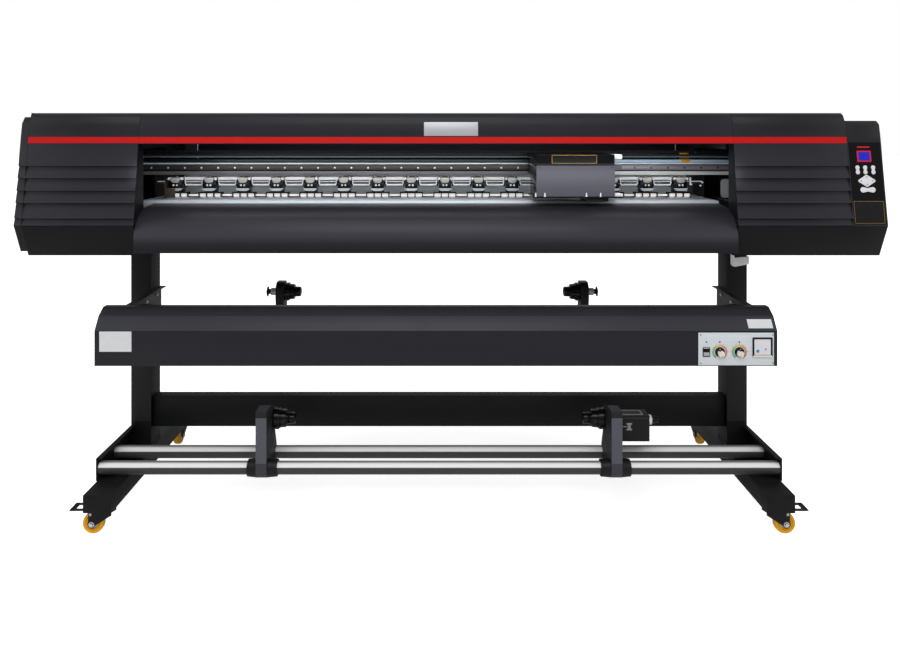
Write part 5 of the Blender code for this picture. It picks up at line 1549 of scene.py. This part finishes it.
def both_ways(middle, half):
    """Outline about an upright line, from the points of its right half."""
    return [(middle + out, z) for out, z in half] + [(middle - out, z) for out, z in half[::-1]]


def pinch_housing(x):
    """One unit's black arm, with the cage that holds its three wheels."""
    arm = [
        (-0.0845, 0.9690), (-0.0845, 0.9860), (-0.0800, 1.0040), (-0.018, 1.0040), (-0.014, 1.0000),
        (-0.014, 0.9710), (-0.040, 0.9690), (-0.041, 0.9560), (-0.0745, 0.9560), (-0.0745, 0.9690)
    ]
    shapes = [
        plate("X", arm, x - 0.0195, x + 0.0195, 0.0010, 2, 40),
        block((x - 0.0368, -0.0760, 0.9530), (x + 0.0368, -0.0460, 0.9566), 0.0008),
        block((x - 0.0368, -0.0760, 0.9410), (x + 0.0368, -0.0735, 0.9424), 0.0004, 1)
    ]
    for post in (-0.0353, -0.0118, 0.0118, 0.0353):
        low, high = (x + post - 0.0015, -0.0760, 0.9410), (x + post + 0.0015, -0.0465, 0.9560)
        shapes.append(block(low, high, 0.0005, 1))
    return shapes


def dress_pinch_units():
    """The pinch bar's shaft, its sixteen units, the brackets between them and their wheels."""
    housings, horns, trays, domes, screws, wheels = [], [], [], [], [], []
    places = pinch_places()
    low, high = extent("pinch_bar")
    shaft = rod("X", PINCH_SHAFT, low.x, high.x, 0.0049, 20, 0.0005)
    for x in places:
        housings += pinch_housing(x)
        for side in (-1, 1):
            horn = [
                (0.0160, 1.0045), (0.0215, 1.0045), (0.0240, 1.0000), (0.0215, 0.9955),
                (0.0160, 0.9985)
            ]
            horn = [(x + side * out, z) for out, z in horn]
            horns.append(plate("Y", horn, -0.0860, -0.0700, 0.0008, 2, 40))
            screws.append(cap_screw("Y", (x + side * 0.0052, 0.9800), -0.0845, -1, 0.0030, 0.0018))
            screws.append(cap_screw("Z", (x + side * 0.0120, -0.0300), 1.004, 1, 0.0024, 0.0016))
        tray = both_ways(x, [(0.0215, 0.9700), (0.0180, 0.9640), (0.0120, 0.9615)])
        trays.append(plate("Y", tray, -0.0880, -0.0720, 0.0008, 2, 40))
        dome = both_ways(x, [(0.0150, 1.0045), (0.0140, 0.9930), (0.0085, 0.9870)])
        domes.append(plate("Y", dome, -0.0872, -0.0780, 0.0026, 3, 40))
        for wheel in (-0.0235, 0.0, 0.0235):
            profile = mirrored([(-0.0104, 0.0030), (-0.0104, 0.0066), (-0.0086, 0.0079)])
            profile = [(x + wheel + along, radius) for along, radius in profile]
            wheels.append(turned("X", PINCH_AXLE, profile, 24))
    frames, bars, painted_shadow_backs = link_plates(places)
    axle = rod("X", PINCH_AXLE, places[0] - PINCH_HALF, places[-1] + PINCH_HALF, 0.0024, 12)
    publish("pinch_shaft", shaft, "tube steel", "pinch", ["pinch_bar"])
    # The housings' object also holds the dark backings that stand in for shadow
    publish("pinch_housings", housings + painted_shadow_backs, "gloss plastic", "pinch")
    publish("pinch_horns", horns, "white plastic", "pinch")
    publish("pinch_trays", trays, "guide grey", "pinch")
    publish("pinch_domes", domes, "dome metal", "pinch")
    publish("pinch_screws", screws, "bolt white", "pinch")
    publish("pinch_link_frames", frames, "bolt white", "pinch")
    publish("pinch_link_bars", bars, "platen metal", "pinch")
    publish(
        "pinch_wheels", wheels + [axle], "pinch wheel", "pinch_roller_set",
        ["pinch_rollers"]
    )


def link_plates(places):
    """Bright bracket between two pinch units: a framed slot with a bar, on a dark backing that
    stands in for the shadow around it.
    """
    frames, bars, painted_shadow_backs = [], [], []
    for first, second in zip(places, places[1:]):
        middle = (first + second) / 2
        outer = both_ways(middle, [(0.0300, 1.0045), (0.0288, 0.9850), (0.0262, 0.9775)])
        inner = both_ways(middle, [(0.0262, 0.9958), (0.0256, 0.9870), (0.0240, 0.9832)])
        frames.append(ring_plate("Y", outer, inner, -0.0680, -0.0655, 0.0004))
        frames.append(
            block((middle - 0.0298, -0.0665, 1.0020), (middle + 0.0298, -0.0180, 1.0045), 0.0006, 1)
        )
        bars.append(
            block((middle - 0.0262, -0.0676, 0.9880), (middle + 0.0262, -0.0660, 0.9930), 0.0004, 1)
        )
        # Dark backing that stands in for the shadow in the gaps around the frame
        painted_shadow_backs.append(
            block((middle - 0.0318, -0.0656, 0.9762), (middle + 0.0318, -0.0640, 1.0035), 0.0004, 1)
        )
    return frames, bars, painted_shadow_backs


# ---------------------------------------------------------------- control panel


def face_frame():
    """Frame on the control box's leaning face: X across, Z up the face, -Y outwards."""
    return Matrix.Translation((1.238, face_y(0.885), 0.885)) @ Matrix.Rotation(-LEAN, 4, "X")


def dress_panel():
    """Control panel with its keys, display, blank label and the arrows on the four-way key."""
    refined("control_panel", "gloss plastic", 0.0004, 1)
    for key in ("left", "middle", "right", "four_way", "wide"):
        refined(f"key_{key}", "white plastic", 0.0005, 2, 30)
    on_face = face_frame()
    centre = (-0.0035, 0.1965)
    outer = rounded_rectangle(centre, 0.0410, 0.0330, 0.0020)
    inner = rounded_rectangle(centre, 0.0330, 0.0250, 0.0010)
    rim = ring_plate("Y", outer, inner, -0.0012, 0.0003, 0.0003)
    publish("display_frame", rim, "red film", "frame", matrix=on_face)
    screen = plate("Y", inner, -0.0006, 0.0003)
    publish("display_screen", screen, "display", "frame", matrix=on_face)
    outer = rounded_rectangle((-0.0010, 0.0345), 0.0860, 0.0640, 0.0020)
    inner = rounded_rectangle((-0.0010, 0.0345), 0.0840, 0.0620, 0.0012)
    border = ring_plate("Y", outer, inner, -0.0005, 0.0003)
    publish("label_border", border, "brass", "frame", matrix=on_face)
    label = plate("Y", inner, -0.0003, 0.0003)
    publish("blank_label", label, "black film", "frame", matrix=on_face)
    arrows = []
    for turn in range(4):
        reach = 0.0095 if turn % 2 == 0 else 0.0155
        quarter = Matrix.Rotation(math.radians(90 * turn), 3, "Y")
        arrow = plate(
            "Y", [(-0.0028, reach), (0.0028, reach), (0.0, reach + 0.0042)], -0.0019, -0.0014
        )
        bmesh.ops.rotate(arrow, cent=(0, 0, 0), matrix=quarter, verts=arrow.verts)
        bmesh.ops.translate(arrow, vec=(-0.001, 0, 0.125), verts=arrow.verts)
        arrows.append(arrow)
    publish("arrow_marks", arrows, "lilac film", "button_four_way", matrix=on_face)
    strip = plate(
        "Y", rounded_rectangle((-0.0035, 0.2235), 0.0360, 0.0038, 0.0010), -0.0004, 0.0003
    )
    publish("bare_title_strip", strip, "red film", "frame", matrix=on_face)


# ---------------------------------------------------------------- studio


def studio_floor():
    """Pale floor that keeps a soft shadow under the machine and grows white further out."""
    finish = Finish("floor_white", tone(250, 250, 250), 0.9)
    seen = [
        finish.node("ShaderNodeLightPath", output=f"Is {kind} Ray")
        for kind in ("Camera", "Transmission")
    ]
    path = (seen[0] + seen[1]).clamped()
    finish.feed(
        "Base Color", finish.mix(finish.noise(0.8, 2), tone(247, 247, 247), tone(252, 252, 252))
    )
    x, y, _ = finish.axes()
    near, spread, least = 0.40, 1.6, 0.66
    reach = (x * x * 0.45 + y * y) ** 0.5
    far = ((reach - near) * spread).clamped()
    glow = path * (far * (1 - least) + least)
    finish.feed("Emission Color", finish.mix(glow, (0, 0, 0), (1, 1, 1)))
    finish.feed("Emission Strength", 1.0)
    bm = bmesh.new()
    bmesh.ops.create_grid(bm, x_segments=1, y_segments=1, size=30)
    bmesh.ops.translate(bm, vec=(0, 0, -0.0005), verts=bm.verts)
    mesh = bpy.data.meshes.new("studio_floor")
    bm.to_mesh(mesh)
    bm.free()
    mesh.materials.append(finish.material)
    floor = bpy.data.objects.new("studio_floor", mesh)
    bpy.context.scene.collection.objects.link(floor)


def lamp(name, place, target, size, power):
    """Flat lamp, unseen by the camera, that points at a target."""
    light = bpy.data.lights.new(name, "AREA")
    light.shape = "RECTANGLE"
    light.size, light.size_y = size
    light.energy = power
    holder = bpy.data.objects.new(name, light)
    holder.location = place
    holder.visible_camera = False
    holder.rotation_euler = (Vector(target) - Vector(place)).to_track_quat("-Z", "Y").to_euler()
    bpy.context.scene.collection.objects.link(holder)


def surroundings(strength):
    """Even room light, seen as plain white by the camera and through glass."""
    world = bpy.data.worlds.new("studio_world")
    world.use_nodes = True
    bpy.context.scene.world = world
    tree = world.node_tree
    background = tree.nodes["Background"]
    path = tree.nodes.new("ShaderNodeLightPath")
    seen = tree.nodes.new("ShaderNodeMath")
    seen.operation = "MAXIMUM"
    tree.links.new(path.outputs["Is Camera Ray"], seen.inputs[0])
    tree.links.new(path.outputs["Is Transmission Ray"], seen.inputs[1])
    power = tree.nodes.new("ShaderNodeMix")
    power.inputs["A"].default_value = strength
    power.inputs["B"].default_value = 1.0
    tree.links.new(seen.outputs[0], power.inputs["Factor"])
    tree.links.new(power.outputs["Result"], background.inputs["Strength"])
    background.inputs["Color"].default_value = (1, 1, 1, 1)


def studio_camera(studio):
    """Level camera in front of the machine."""
    camera = bpy.data.cameras.new("studio_camera")
    camera.lens = studio.lens
    camera.sensor_width = 36
    camera.shift_x = 0.0122
    camera.shift_y = -0.2156
    camera.clip_end = 100
    camera.dof.use_dof = False
    holder = bpy.data.objects.new("studio_camera", camera)
    holder.location = (MID, -studio.distance, studio.height)
    holder.rotation_euler = (math.radians(90), 0, 0)
    bpy.context.scene.collection.objects.link(holder)
    bpy.context.scene.camera = holder


# ---------------------------------------------------------------- operators


class PrinterSettings(bpy.types.PropertyGroup):
    """All settings of the roll printer's looks."""

    colours: bpy.props.PointerProperty(
        type=PrinterColours, name="Colours", description="Paint, plastic and metal"
    )
    sizes: bpy.props.PointerProperty(
        type=PrinterSizes, name="Sizes", description="Sizes of the details"
    )
    studio: bpy.props.PointerProperty(
        type=StudioSettings, name="Studio", description="Lamps, floor and camera"
    )


def set_stage(studio):
    """Floor, room light, lamps and camera."""
    bpy.context.scene.view_settings.view_transform = "Standard"
    studio_floor()
    surroundings(studio.world)
    lamp("key_lamp", (-0.2, -2.5, 3.4), (0, 0, 0.75), (3.6, 2.0), studio.key_power)
    lamp(
        "opening_lamp", (-0.04, -0.235, 1.106), (-0.04, -0.06, 0.94), (1.70, 0.03),
        studio.opening_power
    )
    lamp(
        "bench_lamp", (-0.04, -0.345, 1.03), (-0.04, -0.02, 0.965), (1.76, 0.05),
        studio.opening_power * 0.4
    )
    lamp(
        "guide_lamp", (-0.04, 0.030, 1.0040), (-0.04, 0.098, 0.965), (1.70, 0.02),
        studio.opening_power * 0.14
    )
    lamp("left_lamp", (-3.2, -1.2, 1.8), (0, 0, 0.8), (1.8, 2.2), studio.side_power)
    lamp("right_lamp", (3.2, -1.2, 1.8), (0, 0, 0.8), (1.8, 2.2), studio.side_power)
    lamp("back_lamp", (0, 3.0, 2.6), (0, 0, 0.8), (3.0, 1.6), studio.side_power)
    studio_camera(studio)


class PRINTER_OT_finishes(bpy.types.Operator):
    """Makes every paint, plastic and metal of the printer."""

    bl_idname = "printer.finishes"
    bl_label = "Mix Finishes"

    def execute(self, context):
        mix_finishes(context.scene.roll_printer.colours)
        return {"FINISHED"}


class PRINTER_OT_body(bpy.types.Operator):
    """Dresses the covers, end shells and apron, with the red band and the blank badge."""

    bl_idname = "printer.body"
    bl_label = "Dress Body"

    def execute(self, context):
        dress_body(context.scene.roll_printer.sizes)
        return {"FINISHED"}


class PRINTER_OT_stand(bpy.types.Operator):
    """Dresses the legs, crossbar and tubes, with their bolts and welds."""

    bl_idname = "printer.stand"
    bl_label = "Dress Stand"

    def execute(self, context):
        dress_stand(context.scene.roll_printer.sizes)
        return {"FINISHED"}


class PRINTER_OT_casters(bpy.types.Operator):
    """Dresses the forks, wheels, swivel races and brake pedals."""

    bl_idname = "printer.casters"
    bl_label = "Dress Casters"

    def execute(self, context):
        dress_casters(context.scene.roll_printer.sizes)
        return {"FINISHED"}


class PRINTER_OT_holders(bpy.types.Operator):
    """Dresses the take-up and feed arms, their cones and the motor box."""

    bl_idname = "printer.holders"
    bl_label = "Dress Roll Holders"

    def execute(self, context):
        dress_holders()
        return {"FINISHED"}


class PRINTER_OT_dryer(bpy.types.Operator):
    """Dresses the dryer's housing, blank labels, switch, knobs and thermostat."""

    bl_idname = "printer.dryer"
    bl_label = "Dress Dryer"

    def execute(self, context):
        dress_dryer()
        return {"FINISHED"}


class PRINTER_OT_rail(bpy.types.Operator):
    """Dresses the rail beam, belt drive, platen and parking station."""

    bl_idname = "printer.rail"
    bl_label = "Dress Rail"

    def execute(self, context):
        dress_rail(context.scene.roll_printer.sizes)
        return {"FINISHED"}


class PRINTER_OT_carriage(bpy.types.Operator):
    """Dresses the carriage with its plate, clips and print head."""

    bl_idname = "printer.carriage"
    bl_label = "Dress Carriage"

    def execute(self, context):
        dress_carriage()
        return {"FINISHED"}


class PRINTER_OT_pinch(bpy.types.Operator):
    """Dresses the sixteen pinch units with their wheels."""

    bl_idname = "printer.pinch"
    bl_label = "Dress Pinch Units"

    def execute(self, context):
        dress_pinch_units()
        return {"FINISHED"}


class PRINTER_OT_panel(bpy.types.Operator):
    """Dresses the control panel with its display, keys and blank label."""

    bl_idname = "printer.panel"
    bl_label = "Dress Control Panel"

    def execute(self, context):
        dress_panel()
        return {"FINISHED"}


class PRINTER_OT_stage(bpy.types.Operator):
    """Sets the floor, the lamps and the camera."""

    bl_idname = "printer.stage"
    bl_label = "Set Stage"

    def execute(self, context):
        set_stage(context.scene.roll_printer.studio)
        return {"FINISHED"}


OPERATORS = (
    PRINTER_OT_finishes,
    PRINTER_OT_body,
    PRINTER_OT_stand,
    PRINTER_OT_casters,
    PRINTER_OT_holders,
    PRINTER_OT_dryer,
    PRINTER_OT_rail,
    PRINTER_OT_carriage,
    PRINTER_OT_pinch,
    PRINTER_OT_panel,
    PRINTER_OT_stage,
)


class PRINTER_PT_looks(bpy.types.Panel):
    """Lists the settings and the operators in the sidebar."""

    bl_idname = "PRINTER_PT_looks"
    bl_label = "Roll Printer"
    bl_space_type = "VIEW_3D"
    bl_region_type = "UI"
    bl_category = "Roll Printer"

    def draw(self, context):
        settings = context.scene.roll_printer
        for group in (settings.colours, settings.sizes, settings.studio):
            column = self.layout.column()
            for name in group.bl_rna.properties.keys():
                if name not in ("rna_type", "name"):
                    column.prop(group, name)
        for job in OPERATORS:
            self.layout.operator(job.bl_idname)


CLASSES = (
    PrinterColours, PrinterSizes, StudioSettings, PrinterSettings, *OPERATORS, PRINTER_PT_looks
)


def register():
    """Registers the classes and adds the settings to the scene."""
    for cls in CLASSES:
        bpy.utils.register_class(cls)
    bpy.types.Scene.roll_printer = bpy.props.PointerProperty(type=PrinterSettings)


def unregister():
    """Takes the settings and the classes away again."""
    del bpy.types.Scene.roll_printer
    for cls in reversed(CLASSES):
        bpy.utils.unregister_class(cls)


def main():
    """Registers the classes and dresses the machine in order."""
    register()
    bpy.ops.printer.finishes()
    bpy.ops.printer.body()
    bpy.ops.printer.stand()
    bpy.ops.printer.casters()
    bpy.ops.printer.holders()
    bpy.ops.printer.dryer()
    bpy.ops.printer.rail()
    bpy.ops.printer.carriage()
    bpy.ops.printer.pinch()
    bpy.ops.printer.panel()
    bpy.ops.printer.stage()


if __name__ == "__main__":
    main()
